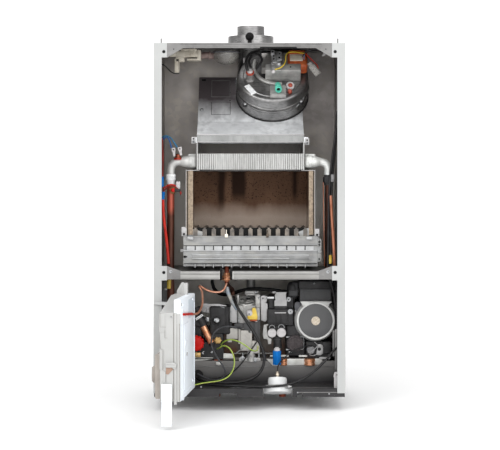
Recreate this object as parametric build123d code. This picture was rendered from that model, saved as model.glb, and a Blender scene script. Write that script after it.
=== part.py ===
from build123d import *
import math
import os

# Wall-hung combi boiler with its front cover and chamber door taken off, and its
# control box swung open. Millimetres. X runs to the right, Y towards the wall, Z up.
# The origin is the middle of the back panel's wall face, at half the height of the
# side panels. The front plane of the cabinet is at y = -case_depth.

# ---- casing
case_width = 400.0
case_height = 730.0
case_depth = 299.0
sheet = 1.0
back_sheet = 1.5
flange_width = 17.0
back_flange = 15.0
corner_tab_width = 11.0
corner_tab_height = 30.0
cover_hole_radius = 3.5
cover_hole_inset = 21.5
cover_hole_drop = 18.5
cover_hole_low = -113.5
rail_height = 11.0
gusset_drop = 20.0
gusset_run = 35.0
cover_pin_radius = 1.6
cover_pin_height = 10.0
slot_x = 130.0
slot_drop = 20.0
slot_radius = 5.0

# ---- sealed chamber
chamber_wall_gap = 9.0
chamber_depth = 217.0
chamber_floor_z = -112.0
cross_rail_height = 16.0
pipe_gap = 1.5
gas_notch = 25.0

# ---- tray and brackets
tray_floor_z = -356.0
tray_lip = 17.0
tray_gap = 0.3
tray_back = 22.0
gland_x = -115.0
gland_depth = 84.0
gland_radius = 12.0
earth_stud_x = -128.0
earth_stud_depth = 16.0

# ---- flue
flue_x = 3.0
flue_depth = 150.0
air_ring_radius = 50.0
air_ring_wall = 1.5
air_ring_height = 27.0
flue_radius = 30.0
flue_wall = 1.2
flue_height = 49.0
flue_tail = 4.0
spider_sheet = 2.0
spider_height = 6.0
test_plug_radius = 8.7
test_plug_length = 9.0

# ---- expansion vessel
vessel_low_z = -95.0
vessel_high_z = 330.0
vessel_half_width = 150.0
vessel_corner = 40.0
vessel_edge = 8.0
vessel_wall = 1.2
vessel_gap = 0.3
vessel_port_radius = 4.0

# ---- flue hood
exchanger_x = 2.0
exchanger_width = 224.0
end_plate = 1.5
hood_base_z = 160.0
hood_lip = 16.0
hood_knee_depth = 106.0
hood_knee_z = 205.0
hood_top_z = 307.0
hood_inlet_radius = 30.0
fan_seat_slide = 78.0
fan_seat_gap = 0.3

# ---- fan, along its own tilted axis
fan_tilt = 42.0
fan_x = 50.0
fan_radius = 77.5
fan_length = 62.0
fan_seam = 31.0
fan_wall = 1.2
fan_seam_flange = 2.2
fan_seam_width = 3.0
fan_seam_overlap = 9.0
duct_length = 62.0
duct_overlap = 9.0
fan_shaft_radius = 4.0
fan_shaft_gap = 0.06
impeller_radius = 66.0
impeller_height = 34.0
impeller_blades = 16
rotor_radius = 12.0
rotor_length = 20.0
motor_gap = 0.6

# ---- air pressure switch
switch_x = -56.0
switch_depth = 120.0
switch_radius = 29.0
switch_height = 34.0
switch_rim = 9.0
switch_dome_step = 5.0
switch_bracket_reach = 88.0

# ---- heat exchanger
fin_depth = 154.0
fin_height = 35.0
fin_count = 56
fin_sheet = 0.5
exchanger_front = 46.0
water_tube_radius = 8.0
water_tube_count = 4
water_tube_pitch = 36.0
header_radius = 13.5
elbow_radius = 9.5
riser_radius = 8.5
riser_gap = 22.0
riser_depth = 70.0
tube_z = 118.0
collar_height = 10.0

# ---- combustion chamber and burner
frame_half_width = 137.0
frame_sheet = 1.2
frame_top_z = 100.0
frame_base_z = -101.0
board = 10.0
board_base_z = -36.0
burner_count = 13
burner_pitch = 19.4
burner_blade = 9.0
burner_top_z = -22.0
burner_height = 48.0
front_plate = 2.0
front_top_z = -39.5
front_height = 63.5
front_half_width = 142.0
front_rib = 2.0
gas_pipe_x = -48.5
gas_pipe_depth = 60.0
gas_pipe_radius = 4.9
gas_nut_radius = 9.5
manifold_radius = 8.0
injector_radius = 2.5

# ---- hydraulics
tail_radius = 7.5
tail_end_z = -388.0
tail_depth = 104.0
tail_nut_radius = 11.0
tail_nut_height = 12.0
tail_wall = 1.2
tail_boss = 1.5
hot_tail_x = -70.0
gas_tail_x = -8.0
strip_z = -306.0
strip_height = 17.0
strip_lip = 5.0
strip_sheet = 1.5
bracket_arm = 60.0
block_reach = 14.0
block_depth = 62.0
block_gap = 0.3

flow_riser_gap = 18.0
flow_block_right = -56.0
flow_block_top = -270.0
flow_inlet_z = -276.0
valve_neck_radius = 13.0
seat_x = -78.0
seat_radius = 15.0
diverter_left = -86.0
diverter_right = -43.0
diverter_low = -236.7
diverter_high = -191.0
diverter_depth = 60.0
link_radius = 6.4
link_nut_radius = 9.5

return_block_left = 30.0
return_pump_gap = 48.5
return_block_top = -232.0
turret_high = -196.0
turret_cap_high = -163.0
turret_pipe_radius = 9.0
filter_boss_radius = 15.0
sensor_cap_z = -245.5
sensor_cap_radius = 9.3
sensor_cap_reach = 15.0
exchanger_plates_left = -70.0
exchanger_plates_right = 80.0
exchanger_plates_top = -215.0
exchanger_plates_depth = 52.0

pump_riser_gap = 26.5
pump_z = -222.0
pump_front = 75.0
pump_radius = 41.0
pump_length = 100.0
pump_wall = 5.0
pump_shaft_radius = 4.0
pump_rotor_radius = 24.0
pump_impeller_radius = 28.0
terminal_half_width = 35.0
terminal_depth = 64.0
terminal_height = 42.0
volute_depth = 52.0
volute_half = 40.0
volute_port_radius = 16.0
outlet_offset = 22.0
vent_radius = 9.2
vent_stand = 2.5

knob_block_gap = 36.5
knob_z = -270.2
knob_radius = 17.0
knob_length = 18.0
knob_shaft_radius = 4.0
knob_scallops = 6
turn_gap = 0.06
tap_radius = 8.5
tap_height = 28.0
tap_top_z = -282.0
tap_reach = 15.0
tap_spindle_radius = 3.0
filter_pump_gap = 43.8
filter_z = -271.0
filter_radius = 18.0
filter_length = 12.0
filter_ribs = 18
filter_spindle_radius = 5.0

gas_valve_left = -42.0
gas_valve_right = 22.0
gas_valve_low = -296.0
gas_valve_high = -204.0
gas_valve_depth = 50.0
regulator_radius = 24.0
regulator_top = -172.0
coil_left = -8.0
coil_right = 15.0
coil_low = -222.0
coil_high = -182.0
coil_depth = 14.0
coil_button_radius = 6.0

# ---- pressure gauge, face down and forward
gauge_x = 59.0
gauge_depth = 38.0
gauge_z = -363.0
gauge_tilt = 15.0
gauge_body_radius = 20.0
gauge_body_height = 24.0
gauge_nipple = 14.0
gauge_ring_radius = 28.5
gauge_ring_height = 7.0

# ---- control box, in its own shut place, then swung open
hinge_x = -150.0
hinge_depth = -26.0
hinge_pin_radius = 3.0
hinge_gap = 0.08
knuckle_radius = 6.0
knuckle_low = -330.0
knuckle_high = -180.0
lug = 6.0
lug_throat = 12.0
lug_gap = 0.3
box_open_angle = 96.0
box_width = 190.0
box_heel = 6.0
box_front = -3.0
box_thickness = 40.0
box_wall = 2.0
box_top_z = -156.0
box_low_z = -347.0
cover_share = 7.0
fascia_rise = 13.0
fascia_top_z = -258.0
fascia_margin = 14.0
dial_inset = 52.0
dial_radius = 17.0
dial_height = 9.0
dial_shaft_radius = 3.0
dial_gap = 0.4
button_radius = 6.0
button_travel = 2.0
flap_near = 1.0
flap_width = 20.0
flap_length = 78.0
flap_sheet = 2.5
flap_pin_radius = 1.5
flap_pin_z = -316.0
sleeve_radius = 1.9
sleeve_z = -184.0
horn_top_z = -127.5
board_gap = 8.0

front_y = -case_depth
half_width = case_width / 2
half_height = case_height / 2
wall_x = half_width - sheet - chamber_wall_gap
chamber_back_y = front_y + chamber_depth
riser_x = wall_x - riser_gap
fin_y = front_y + exchanger_front
flue_y = front_y + flue_depth
cover_hole_x = half_width - cover_hole_inset
cover_hole_top = half_height - cover_hole_drop
slot_z = half_height - slot_drop
tail_y = front_y + tail_depth
block_near = tail_y - block_reach
block_far = tail_y + block_depth
block_low = strip_z + block_gap
pump_x = riser_x - pump_riser_gap
flow_block_left = -riser_x + flow_riser_gap
return_block_right = pump_x - return_pump_gap
return_span = return_block_right - return_block_left
cold_tail_x = return_block_left + 0.651 * return_span
tap_x = return_block_left + 0.456 * return_span
filter_x = pump_x - filter_pump_gap
knob_x = flow_block_left + knob_block_gap
tail_places = (flow_block_left + 20, hot_tail_x, gas_tail_x, cold_tail_x, pump_x - 10.5)


def block(low, high):
    """A box between two opposite corners."""
    middle = [(a + b) / 2 for a, b in zip(low, high)]
    size = [abs(b - a) for a, b in zip(low, high)]
    return Pos(*middle) * Box(*size)


def rod(start, end, radius):
    """A round bar from one point to another."""
    along = Vector(*end) - Vector(*start)
    base = Plane(origin=start, z_dir=along)
    return base * Cylinder(radius, along.length, align=(Align.CENTER, Align.CENTER, Align.MIN))


def hex_bar(start, end, radius):
    along = Vector(*end) - Vector(*start)
    base = Plane(origin=start, z_dir=along)
    return base * extrude(RegularPolygon(radius, 6), along.length)


def sheet_outline(points, y_near, thickness):
    """A plate in the XZ plane whose near face is at y_near."""
    corners = [(x, y_near, z) for x, z in points]
    face = make_face(Polyline(*corners, close=True))
    return extrude(face, thickness, dir=(0, 1, 0))


def profile_bar(points, x_low, x_high):
    """A bar along X with an outline of (y, z) points."""
    corners = [(x_low, y, z) for y, z in points]
    face = make_face(Polyline(*corners, close=True))
    return extrude(face, x_high - x_low, dir=(1, 0, 0))


def bends(points, share=0.45, widest=None):
    """The radius at each corner of a route: a share of the shorter run over tan(half turn)."""
    found = []
    for before, here, after in zip(points, points[1:], points[2:]):
        arriving = Vector(*here) - Vector(*before)
        leaving = Vector(*after) - Vector(*here)
        half_turn = math.radians(arriving.get_angle(leaving) / 2)
        radius = share * min(arriving.length, leaving.length) / math.tan(half_turn)
        found.append(min(radius, widest) if widest else radius)
    return found


def tube(points, radius, widest=None, name=None):
    """A round tube of straight runs and tangent arcs along a route."""
    radii = bends(points, widest=widest)
    path = FilletPolyline(*points, radius=radii)
    start = Plane(origin=path @ 0, z_dir=path % 0)
    solid = sweep(start * Circle(radius), path)
    if name:
        share = solid.volume / (math.pi * radius**2 * path.length)
        tightest = min(radii) / (2 * radius)
        print(name, "length", round(path.length, 1), "radii", [round(r, 1) for r in radii])
        print(name, "tightest in diameters", round(tightest, 1), "volume share", round(share, 4))
    return solid


# ---------------------------------------------------------------- casing


def side_panel(side):
    """The white side sheet with its front and back flanges and front corner tabs."""
    def across(x_outer, x_inner, y_low, y_high, z_low, z_high):
        return block((side * x_outer, y_low, z_low), (side * x_inner, y_high, z_high))

    low, high = -half_height, half_height
    inside = half_width - sheet
    tab_inner = half_width - flange_width - corner_tab_width
    panel = across(half_width, inside, front_y, -back_sheet, low, high)
    panel += across(half_width, half_width - flange_width, front_y, front_y + sheet, low, high)
    panel += across(half_width, half_width - back_flange, -back_sheet - sheet, -back_sheet, low, high)
    for hole_z, top_z in ((cover_hole_top, high), (cover_hole_low, cover_hole_low + 13.5)):
        panel += across(half_width, tab_inner, front_y, front_y + sheet, top_z - corner_tab_height, top_z)
        hole_x = side * cover_hole_x
        start, end = (hole_x, front_y - 1, hole_z), (hole_x, front_y + sheet + 1, hole_z)
        panel -= rod(start, end, cover_hole_radius)
    return panel


def left_side_panel():
    """The left panel also carries the hinge pin of the control box in two lugs."""
    axis_y = front_y + hinge_depth
    panel = side_panel(-1)
    for low, high in (
        (knuckle_low - lug_gap - lug, knuckle_low - lug_gap),
        (knuckle_high + lug_gap, knuckle_high + lug_gap + lug),
    ):
        reach = [
            (-half_width + sheet, front_y),
            (-half_width + flange_width, front_y),
            (-half_width + flange_width, front_y - 2),
            (hinge_x - lug_throat, axis_y + knuckle_radius),
            (hinge_x, axis_y + knuckle_radius),
            (hinge_x, axis_y - knuckle_radius),
            (hinge_x - lug_throat, axis_y - knuckle_radius),
            (-half_width + sheet, front_y - 2),
        ]
        corners = [(x, y, low) for x, y in reach]
        arm = extrude(make_face(Polyline(*corners, close=True)), high - low, dir=(0, 0, 1))
        panel += arm + rod((hinge_x, axis_y, low), (hinge_x, axis_y, high), knuckle_radius)
    pin_low = knuckle_low - lug_gap - lug
    pin_high = knuckle_high + lug_gap + lug
    return panel + rod((hinge_x, axis_y, pin_low), (hinge_x, axis_y, pin_high), hinge_pin_radius)


def back_panel():
    """The wall sheet with its two hanging slots."""
    edge = half_width - sheet - tray_gap
    panel = block((-edge, -back_sheet, -half_height), (edge, 0, half_height))
    for x in (-slot_x, slot_x):
        hole = rod((x, -back_sheet - 1, slot_z), (x, 1, slot_z), slot_radius)
        neck = block((x - slot_radius / 2, -back_sheet - 1, slot_z), (x + slot_radius / 2, 1, slot_z + 14))
        panel -= hole + neck
    return panel


def top_panel():
    """The top sheet, its down-turned front rail with gussets, and the air hole under the flue."""
    edge = half_width - sheet - tray_gap
    top = half_height
    rail_y = front_y + sheet
    panel = block((-edge, rail_y, top - sheet), (edge, -back_sheet - sheet, top))
    panel += block((-edge, rail_y, top - rail_height), (edge, rail_y + sheet, top))
    tab_edge = half_width - flange_width - corner_tab_width
    low = top - rail_height
    for side in (-1, 1):
        gusset = [
            (side * edge, low + 1),
            (side * edge, low - gusset_drop),
            (side * tab_edge, low - gusset_drop),
            (side * (tab_edge - gusset_run), low + 1),
        ]
        panel += sheet_outline(gusset, rail_y, sheet)
        pin_x = side * (half_width - flange_width + 1.5)
        pin_y = front_y + 9
        panel += rod((pin_x, pin_y, top - 0.5), (pin_x, pin_y, top + cover_pin_height), cover_pin_radius)
    hole_radius = air_ring_radius - 4
    return panel - rod((flue_x, flue_y, top - 3), (flue_x, flue_y, top + 3), hole_radius)


def cross_rail():
    """The chamber floor with its front rail, end gussets, and the holes that its pipes pass."""
    rail_y = front_y + sheet
    edge = half_width - sheet - tray_gap
    floor_low = chamber_floor_z - sheet
    rail_low = chamber_floor_z - cross_rail_height
    rail = block((-edge, rail_y, rail_low), (edge, rail_y + sheet, chamber_floor_z))
    rail += block((-edge, rail_y, floor_low), (edge, chamber_back_y, chamber_floor_z))
    fold = 0.42 * cross_rail_height
    rail += block((-edge, rail_y, floor_low - fold), (edge, rail_y + 4, floor_low - fold + sheet))
    tab_edge = half_width - flange_width - corner_tab_width
    for side in (-1, 1):
        gusset = [
            (side * edge, chamber_floor_z - 1),
            (side * edge, chamber_floor_z + 12),
            (side * tab_edge, chamber_floor_z + 12),
            (side * (tab_edge - gusset_run), chamber_floor_z - 1),
        ]
        rail += sheet_outline(gusset, rail_y, sheet)
    deep = chamber_floor_z - cross_rail_height - 5
    gas_y = front_y + gas_pipe_depth
    rail -= block(
        (gas_pipe_x - gas_notch / 2, rail_y - 1, deep),
        (gas_pipe_x + gas_notch / 2, gas_y + gas_notch / 2, chamber_floor_z + 3),
    )
    for x in (-riser_x, riser_x):
        y = front_y + riser_depth
        rail -= rod((x, y, deep), (x, y, chamber_floor_z + 3), riser_radius + pipe_gap)
    return rail


def sealed_chamber():
    """The grey inner sheet: two side walls and the back, standing on the chamber floor."""
    low = chamber_floor_z
    high = half_height - sheet
    wall_front = front_y + 2 * sheet
    walls = block((-wall_x - sheet, wall_front, low), (-wall_x, chamber_back_y, high))
    walls += block((wall_x, wall_front, low), (wall_x + sheet, chamber_back_y, high))
    walls += block((-wall_x - sheet, chamber_back_y - sheet, low), (wall_x + sheet, chamber_back_y, high))
    return walls


def bottom_tray():
    """The dark tray under the works, with a notched front lip, and the cable gland on its post."""
    edge = half_width - sheet - tray_gap
    lip_y = front_y + 1.5 * sheet
    back_y = -back_sheet - sheet - tray_gap
    floor_low = tray_floor_z - sheet
    tray = block((-edge, lip_y, floor_low), (edge, back_y, tray_floor_z))
    tray += block((-edge, lip_y, tray_floor_z - tray_lip), (edge, lip_y + sheet, tray_floor_z))
    tray += block((-edge, back_y - sheet, floor_low), (edge, back_y, tray_floor_z + tray_back))
    lip_low = tray_floor_z - tray_lip - 1
    tray -= block((-63, lip_y - 1, lip_low), (-26, lip_y + sheet + 1, tray_floor_z - tray_lip + 7))
    tray -= block((99, lip_y - 1, lip_low), (111, lip_y + sheet + 1, tray_floor_z - tray_lip + 5))
    ring = gauge_ring_radius + 2
    tray -= block((gauge_x - ring, lip_y - 1, lip_low), (gauge_x + ring, lip_y + 12, tray_floor_z + 1))
    gauge_y = front_y + gauge_depth
    tray -= rod((gauge_x, gauge_y, floor_low - 5), (gauge_x, gauge_y, tray_floor_z + 5), ring)
    for x in tail_places:
        y = front_y + tail_depth
        tray -= rod((x, y, floor_low - 5), (x, y, tray_floor_z + 5), tail_radius + pipe_gap)
    post_x, post_y, post_z = gland_place()
    foot_z = tray_floor_z - 0.5
    left, right = post_x - gland_radius, post_x + gland_radius
    post = block((left, post_y - 1, foot_z), (right, post_y + 1, post_z))
    post += rod((post_x, post_y - 1, post_z), (post_x, post_y + 1, post_z), gland_radius)
    stud_y = earth_stud_y()
    stud = rod((earth_stud_x, stud_y, foot_z), (earth_stud_x, stud_y, tray_floor_z + 8), 4)
    return tray + post + stud


def gland_place():
    return (gland_x, front_y + gland_depth, tray_floor_z + gland_radius + 3)


def earth_stud_y():
    return front_y + earth_stud_depth


def flue_outlet():
    """The air ring with its spider, the flue duct that the spider holds, and the test plug."""
    top = half_height
    rim = top + air_ring_height
    ring = rod((flue_x, flue_y, top), (flue_x, flue_y, rim), air_ring_radius)
    inside = air_ring_radius - air_ring_wall
    ring -= rod((flue_x, flue_y, top - 1), (flue_x, flue_y, rim + 1), inside)
    low, high = top - flue_tail, top + flue_height
    duct = rod((flue_x, flue_y, low), (flue_x, flue_y, high), flue_radius)
    bore = rod((flue_x, flue_y, low - 1), (flue_x, flue_y, high + 1), flue_radius - flue_wall)
    reach = air_ring_radius - air_ring_wall / 2
    spider = None
    for turn in (30, 150, 270):
        place = Pos(flue_x, flue_y, top + 4) * Rot(0, 0, turn) * Pos(reach / 2, 0, 0)
        arm = place * Box(reach, spider_sheet, spider_height)
        spider = arm if spider is None else spider + arm
    outlet = ring + spider + duct - bore
    plug_z = rim - 5.5
    plug_end = flue_y - air_ring_radius - test_plug_length
    plug = rod((0, plug_end, plug_z), (0, flue_y, plug_z), test_plug_radius)
    plug -= rod((flue_x, flue_y, top - 1), (flue_x, flue_y, rim + air_ring_height), air_ring_radius)
    return Compound([*outlet.solids(), plug.solids().sort_by(Axis.Y)[0]])


def vessel_form(inset):
    """The vessel's pressed outline, drawn in by an inset for its inside."""
    near = chamber_back_y + vessel_gap + inset
    far = -back_sheet - vessel_gap - inset
    half = vessel_half_width - inset
    body = block((-half, near, vessel_low_z + inset), (half, far, vessel_high_z - inset))
    body = fillet(body.edges().filter_by(Axis.Y), vessel_corner - inset)
    return chamfer(body.faces().sort_by(Axis.Y)[0].edges(), vessel_edge - inset)


def expansion_vessel():
    """The flat hollow vessel behind the sealed chamber, open at its water port below."""
    middle = (chamber_back_y - back_sheet) / 2
    low = vessel_low_z
    port = rod((0, middle, low - 1), (0, middle, low + 2 * vessel_wall), vessel_port_radius)
    return vessel_form(0) - vessel_form(vessel_wall) - port


# ---------------------------------------------------------------- flue hood and fan


def hood_profile(inset):
    """The hood's side outline, drawn in by the sheet for its inside."""
    knee_y = front_y + hood_knee_depth
    lip_y = fin_y + 10
    back_y = chamber_back_y - sheet
    top_y = knee_y + (hood_top_z - hood_knee_z) * math.tan(math.radians(fan_tilt))
    return [
        (lip_y + inset, hood_base_z - (1 if inset else 0)),
        (lip_y + inset, hood_base_z + hood_lip - inset / 2),
        (knee_y + inset, hood_knee_z - inset),
        (top_y + inset, hood_top_z - inset),
        (back_y - inset, hood_top_z - inset),
        (back_y - inset, hood_base_z - (1 if inset else 0)),
    ]


def flue_hood():
    """The galvanised hood over the exchanger, holed where the fan draws from it."""
    low_x = exchanger_x - exchanger_width / 2 - end_plate
    high_x = exchanger_x + exchanger_width / 2 + end_plate
    hood = profile_bar(hood_profile(0), low_x, high_x)
    hood -= profile_bar(hood_profile(sheet), low_x + sheet, high_x - sheet)
    for side_x, out in ((low_x, -1), (high_x, 1)):
        tab_y = fin_y + 10
        hood += block((side_x, tab_y, hood_base_z - 2), (side_x + out * 9, tab_y + sheet, hood_base_z + 10))
    base = fan_plane()
    inlet = base * Pos(0, 0, -fan_length - 6) * Cylinder(hood_inlet_radius, 16)
    return hood - inlet


def fan_plane():
    """The fan's frame: its front face is at the origin, with the axis out to the front and up."""
    tilt = math.radians(fan_tilt)
    axis = (0, -math.cos(tilt), math.sin(tilt))
    knee_y = front_y + hood_knee_depth
    seat_y = knee_y + fan_seat_slide * math.sin(tilt)
    seat_z = hood_knee_z + fan_seat_slide * math.cos(tilt)
    lift = fan_length + fan_seat_gap
    origin = (fan_x, seat_y + lift * axis[1], seat_z + lift * axis[2])
    return Plane(origin=origin, x_dir=(1, 0, 0), z_dir=axis)


def can(low, high, radius):
    """A disc along the fan's axis between two heights over its front face."""
    return Pos(0, 0, (low + high) / 2) * Cylinder(radius, high - low)


def fan_housing():
    """The back pan of the fan with its inlet, its seam flange and the outlet duct up to the flue."""
    base = fan_plane()
    seam_radius = fan_radius + fan_seam_flange
    pan = can(-fan_length, -fan_seam, fan_radius)
    pan -= can(-fan_length + fan_wall, -fan_seam + 1, fan_radius - fan_wall)
    pan += can(-fan_seam - fan_seam_width, -fan_seam, seam_radius)
    pan -= can(-fan_seam - fan_seam_overlap, -fan_seam + 1, fan_radius - fan_wall)
    pan -= can(-fan_length - 1, -fan_length + 3, hood_inlet_radius)
    outer = flue_radius - flue_wall - 0.4
    top_z = half_height - flue_tail + duct_overlap
    low_z = top_z - duct_length
    duct = rod((flue_x, flue_y, low_z), (flue_x, flue_y, top_z), outer)
    duct -= rod((flue_x, flue_y, low_z - 1), (flue_x, flue_y, top_z + 1), outer - fan_wall)
    duct -= base * can(-fan_length - 1, fan_length, seam_radius + fan_seat_gap)
    duct_top = duct.solids().sort_by(Axis.Z)[-1]
    return base * pan, duct_top


def fan_cover():
    """The front pan of the fan, which carries the motor."""
    pan = can(-fan_seam, 0, fan_radius)
    pan += can(-fan_seam, -fan_seam + fan_seam_width, fan_radius + fan_seam_flange)
    pan -= can(-fan_seam - 1, -fan_wall, fan_radius - fan_wall)
    pan -= can(-10, 1, fan_shaft_radius + fan_shaft_gap)
    return fan_plane() * pan


def fan_impeller():
    """The wheel, its shaft and the motor's rotor, which turn together."""
    floor = -fan_length + 7
    wheel = can(floor + impeller_height - 1.5, floor + impeller_height, impeller_radius)
    wheel += can(floor, floor + 1.5, impeller_radius) - can(floor - 1, floor + 3, impeller_radius - 18)
    for i in range(impeller_blades):
        turn = Rot(0, 0, 360 * i / impeller_blades)
        blade = turn * Pos(impeller_radius - 9, 0, floor + impeller_height / 2)
        wheel += blade * Rot(0, 0, 35) * Box(17, 1.2, impeller_height - 1)
    wheel += can(floor + impeller_height - 14, floor + impeller_height, 10)
    wheel += can(floor + impeller_height - 2, 40, fan_shaft_radius)
    wheel += can(8, 8 + rotor_length, rotor_radius)
    return fan_plane() * wheel


def fan_motor_frame():
    """The grey cast bracket across the motor, and its bearing."""
    frame = Pos(0, -14, 33) * Box(74, 26, 6)
    frame = fillet(frame.edges().filter_by(Axis.Z), 8)
    for x in (-30, 30):
        frame += Pos(x, -14, 15) * Cylinder(5, 30)
    frame += Pos(0, 0, 33) * Cylinder(9, 6)
    frame -= can(20, 50, fan_shaft_radius + fan_shaft_gap)
    frame -= can(2, 29.9, rotor_radius + motor_gap + 7)
    return fan_plane() * frame


def fan_motor():
    """The lamination stack round the rotor, its copper winding, and the terminal plate."""
    bore = can(-1, 60, rotor_radius + motor_gap)
    stack = Pos(6, 18, 18) * Box(60, 52, 16) - bore
    stack -= Pos(10, 32, 18) * Box(24, 10, 40)
    for x in (-30, 30):
        stack -= Pos(x, -14, 15) * Cylinder(5.3, 60)
    coil = Pos(10, 40, 18) * Box(34, 20, 30) - Pos(6, 18, 18) * Box(60, 52, 16)
    legs = Pos(-22, 12, 5) * Cylinder(3, 9.9) + Pos(34, 12, 5) * Cylinder(3, 9.9)
    return stack, coil, legs


def pressure_nozzles():
    """The plate on the fan's face with the two sensing nozzles of the pressure switch."""
    plate = Pos(8, -48, 2) * Box(36, 24, 4)
    plate += Pos(8, -48, 9) * Cylinder(7.5, 16)
    plate += Pos(32, -42, 4) * Cylinder(9, 8)
    return fan_plane() * (plate - Pos(8, -48, 14) * Cylinder(4.5, 12))


def pressure_switch():
    """The round air pressure switch under the top panel, and the cream bracket beside it."""
    y = front_y + switch_depth
    top = half_height - sheet - 0.3
    body = rod((switch_x, y, top - switch_rim), (switch_x, y, top), switch_radius)
    dome = Pos(switch_x, y, top - switch_rim) * Sphere(switch_radius - switch_dome_step)
    reach = 2 * switch_radius
    low_corner = (switch_x - reach, y - reach, top - switch_height)
    dome &= block(low_corner, (switch_x + reach, y + reach, top - switch_rim + 1))
    body += dome
    edge = switch_x - switch_radius
    left = edge - switch_bracket_reach
    bracket = block((left, y - 10, top - 24), (edge - 26, y + 12, top - 12))
    bracket += block((left, y - 10, top - 12), (edge + 4, y + 12, top))
    bracket += block((left, y - 10, top - 52), (left + 11, y + 2, top - 20))
    bracket -= rod((switch_x, y, top - 60), (switch_x, y, top + 5), switch_radius + 0.3)
    return Compound([*body.solids(), *bracket.solids()])


# ---------------------------------------------------------------- exchanger, chamber, burner


def water_rows():
    """The depths of the exchanger's water tubes, the front one first."""
    first = fin_y + fin_depth / 2 - water_tube_pitch * (water_tube_count - 1) / 2
    return [first + water_tube_pitch * i for i in range(water_tube_count)]


def heat_exchanger_fins():
    """The fins on the water tubes, and the two end plates that the hood stands on."""
    low_z = frame_top_z + 0.3
    width = exchanger_width - 2 * fin_sheet
    fin = block((0, fin_y, low_z), (fin_sheet, fin_y + fin_depth, low_z + fin_height))
    plate = block((0, fin_y, low_z), (end_plate, chamber_back_y - sheet, hood_base_z))
    for y in water_rows():
        hole = rod((-5, y, tube_z), (5, y, tube_z), water_tube_radius + 0.05)
        fin -= hole
        plate -= rod((-5, y, tube_z), (5, y, tube_z), water_tube_radius + 0.05)
    first_x = exchanger_x - width / 2
    step = (width - fin_sheet) / (fin_count - 1)
    fins = [Pos(first_x + step * i, 0, 0) * fin for i in range(fin_count)]
    left = Pos(exchanger_x - exchanger_width / 2 - end_plate, 0, 0) * plate
    right = Pos(exchanger_x + exchanger_width / 2, 0, 0) * plate
    return Compound([s for piece in (*fins, left, right) for s in piece.solids()])


def heat_exchanger_tubes():
    """The water tubes through the fins, joined by end boxes, and the elbows to both risers."""
    half = exchanger_width / 2 + end_plate
    left, right = exchanger_x - half, exchanger_x + half
    rows = water_rows()
    riser_y = front_y + riser_depth
    works = None
    for y in rows:
        bar = rod((left - 12, y, tube_z), (right + 12, y, tube_z), water_tube_radius)
        works = bar if works is None else works + bar
    for side, x in ((-1, left), (1, right)):
        works += block(
            (x + side * 0.5, rows[0] - 9, tube_z - header_radius),
            (x + side * 22, rows[-1] + 9, tube_z + header_radius),
        )
        foot_z = frame_top_z - 19
        riser = side * riser_x
        points = [(x + side * 20, riser_y, tube_z), (riser, riser_y, tube_z), (riser, riser_y, foot_z)]
        works += tube(points, elbow_radius, widest=16)
        works += rod((riser, riser_y, foot_z - collar_height), (riser, riser_y, foot_z), elbow_radius + 2)
    return works


def insulation_boards():
    """The fibre boards that line the combustion chamber: left, right and back."""
    inner = frame_half_width - frame_sheet - 0.3
    near = fin_y + 3
    far = chamber_back_y - sheet - frame_sheet - 0.6
    sides = []
    for side in (-1, 1):
        x = exchanger_x + side * inner
        sides.append(block((x, near, board_base_z), (x - side * board, far, frame_top_z - 2)))
    reach = inner - board - 0.3
    left, right = exchanger_x - reach, exchanger_x + reach
    back = block((left, far - board, board_base_z), (right, far, frame_top_z - 2))
    return Compound([s for piece in (*sides, back) for s in piece.solids()])


def chamber_frame():
    """The steel frame round the boards and the burner, open to the front and the top."""
    near = fin_y + front_plate + 0.1
    far = chamber_back_y - sheet - 0.3
    x0, x1 = exchanger_x - frame_half_width, exchanger_x + frame_half_width
    frame = block((x0, near, frame_base_z), (x0 + frame_sheet, far, frame_top_z))
    frame += block((x1 - frame_sheet, near, frame_base_z), (x1, far, frame_top_z))
    frame += block((x0, far - frame_sheet, frame_base_z), (x1, far, frame_top_z))
    shelf = 6.0
    for side, x in ((1, x0), (-1, x1)):
        inner = x + side * (board + shelf)
        frame += block((x, near + 3, board_base_z - frame_sheet), (inner, far, board_base_z))
        ledge = exchanger_x - side * (exchanger_width / 2 - 4)
        frame += block((x, near, frame_top_z - frame_sheet), (ledge, far, frame_top_z))
    return frame


def burner_blades():
    """The burner bars: slim upright blades side by side, tied by a rod at the back."""
    first = exchanger_x - burner_pitch * (burner_count - 1) / 2
    near = fin_y + front_plate + 0.3
    far = chamber_back_y - sheet - frame_sheet - board - 1.2
    bars = None
    low = burner_top_z - burner_height
    for i in range(burner_count):
        x = first + burner_pitch * i
        bar = block((x - burner_blade / 2, near, low), (x + burner_blade / 2, far, burner_top_z - 3))
        crest = burner_blade / 4
        bar += block((x - crest, near, burner_top_z - 4), (x + crest, far, burner_top_z))
        bars = bar if bars is None else bars + bar
    last = first + burner_pitch * (burner_count - 1)
    for y in (near + 12, far - 12):
        bars += rod((first, y, low + 8), (last, y, low + 8), 2.5)
    return bars


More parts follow.
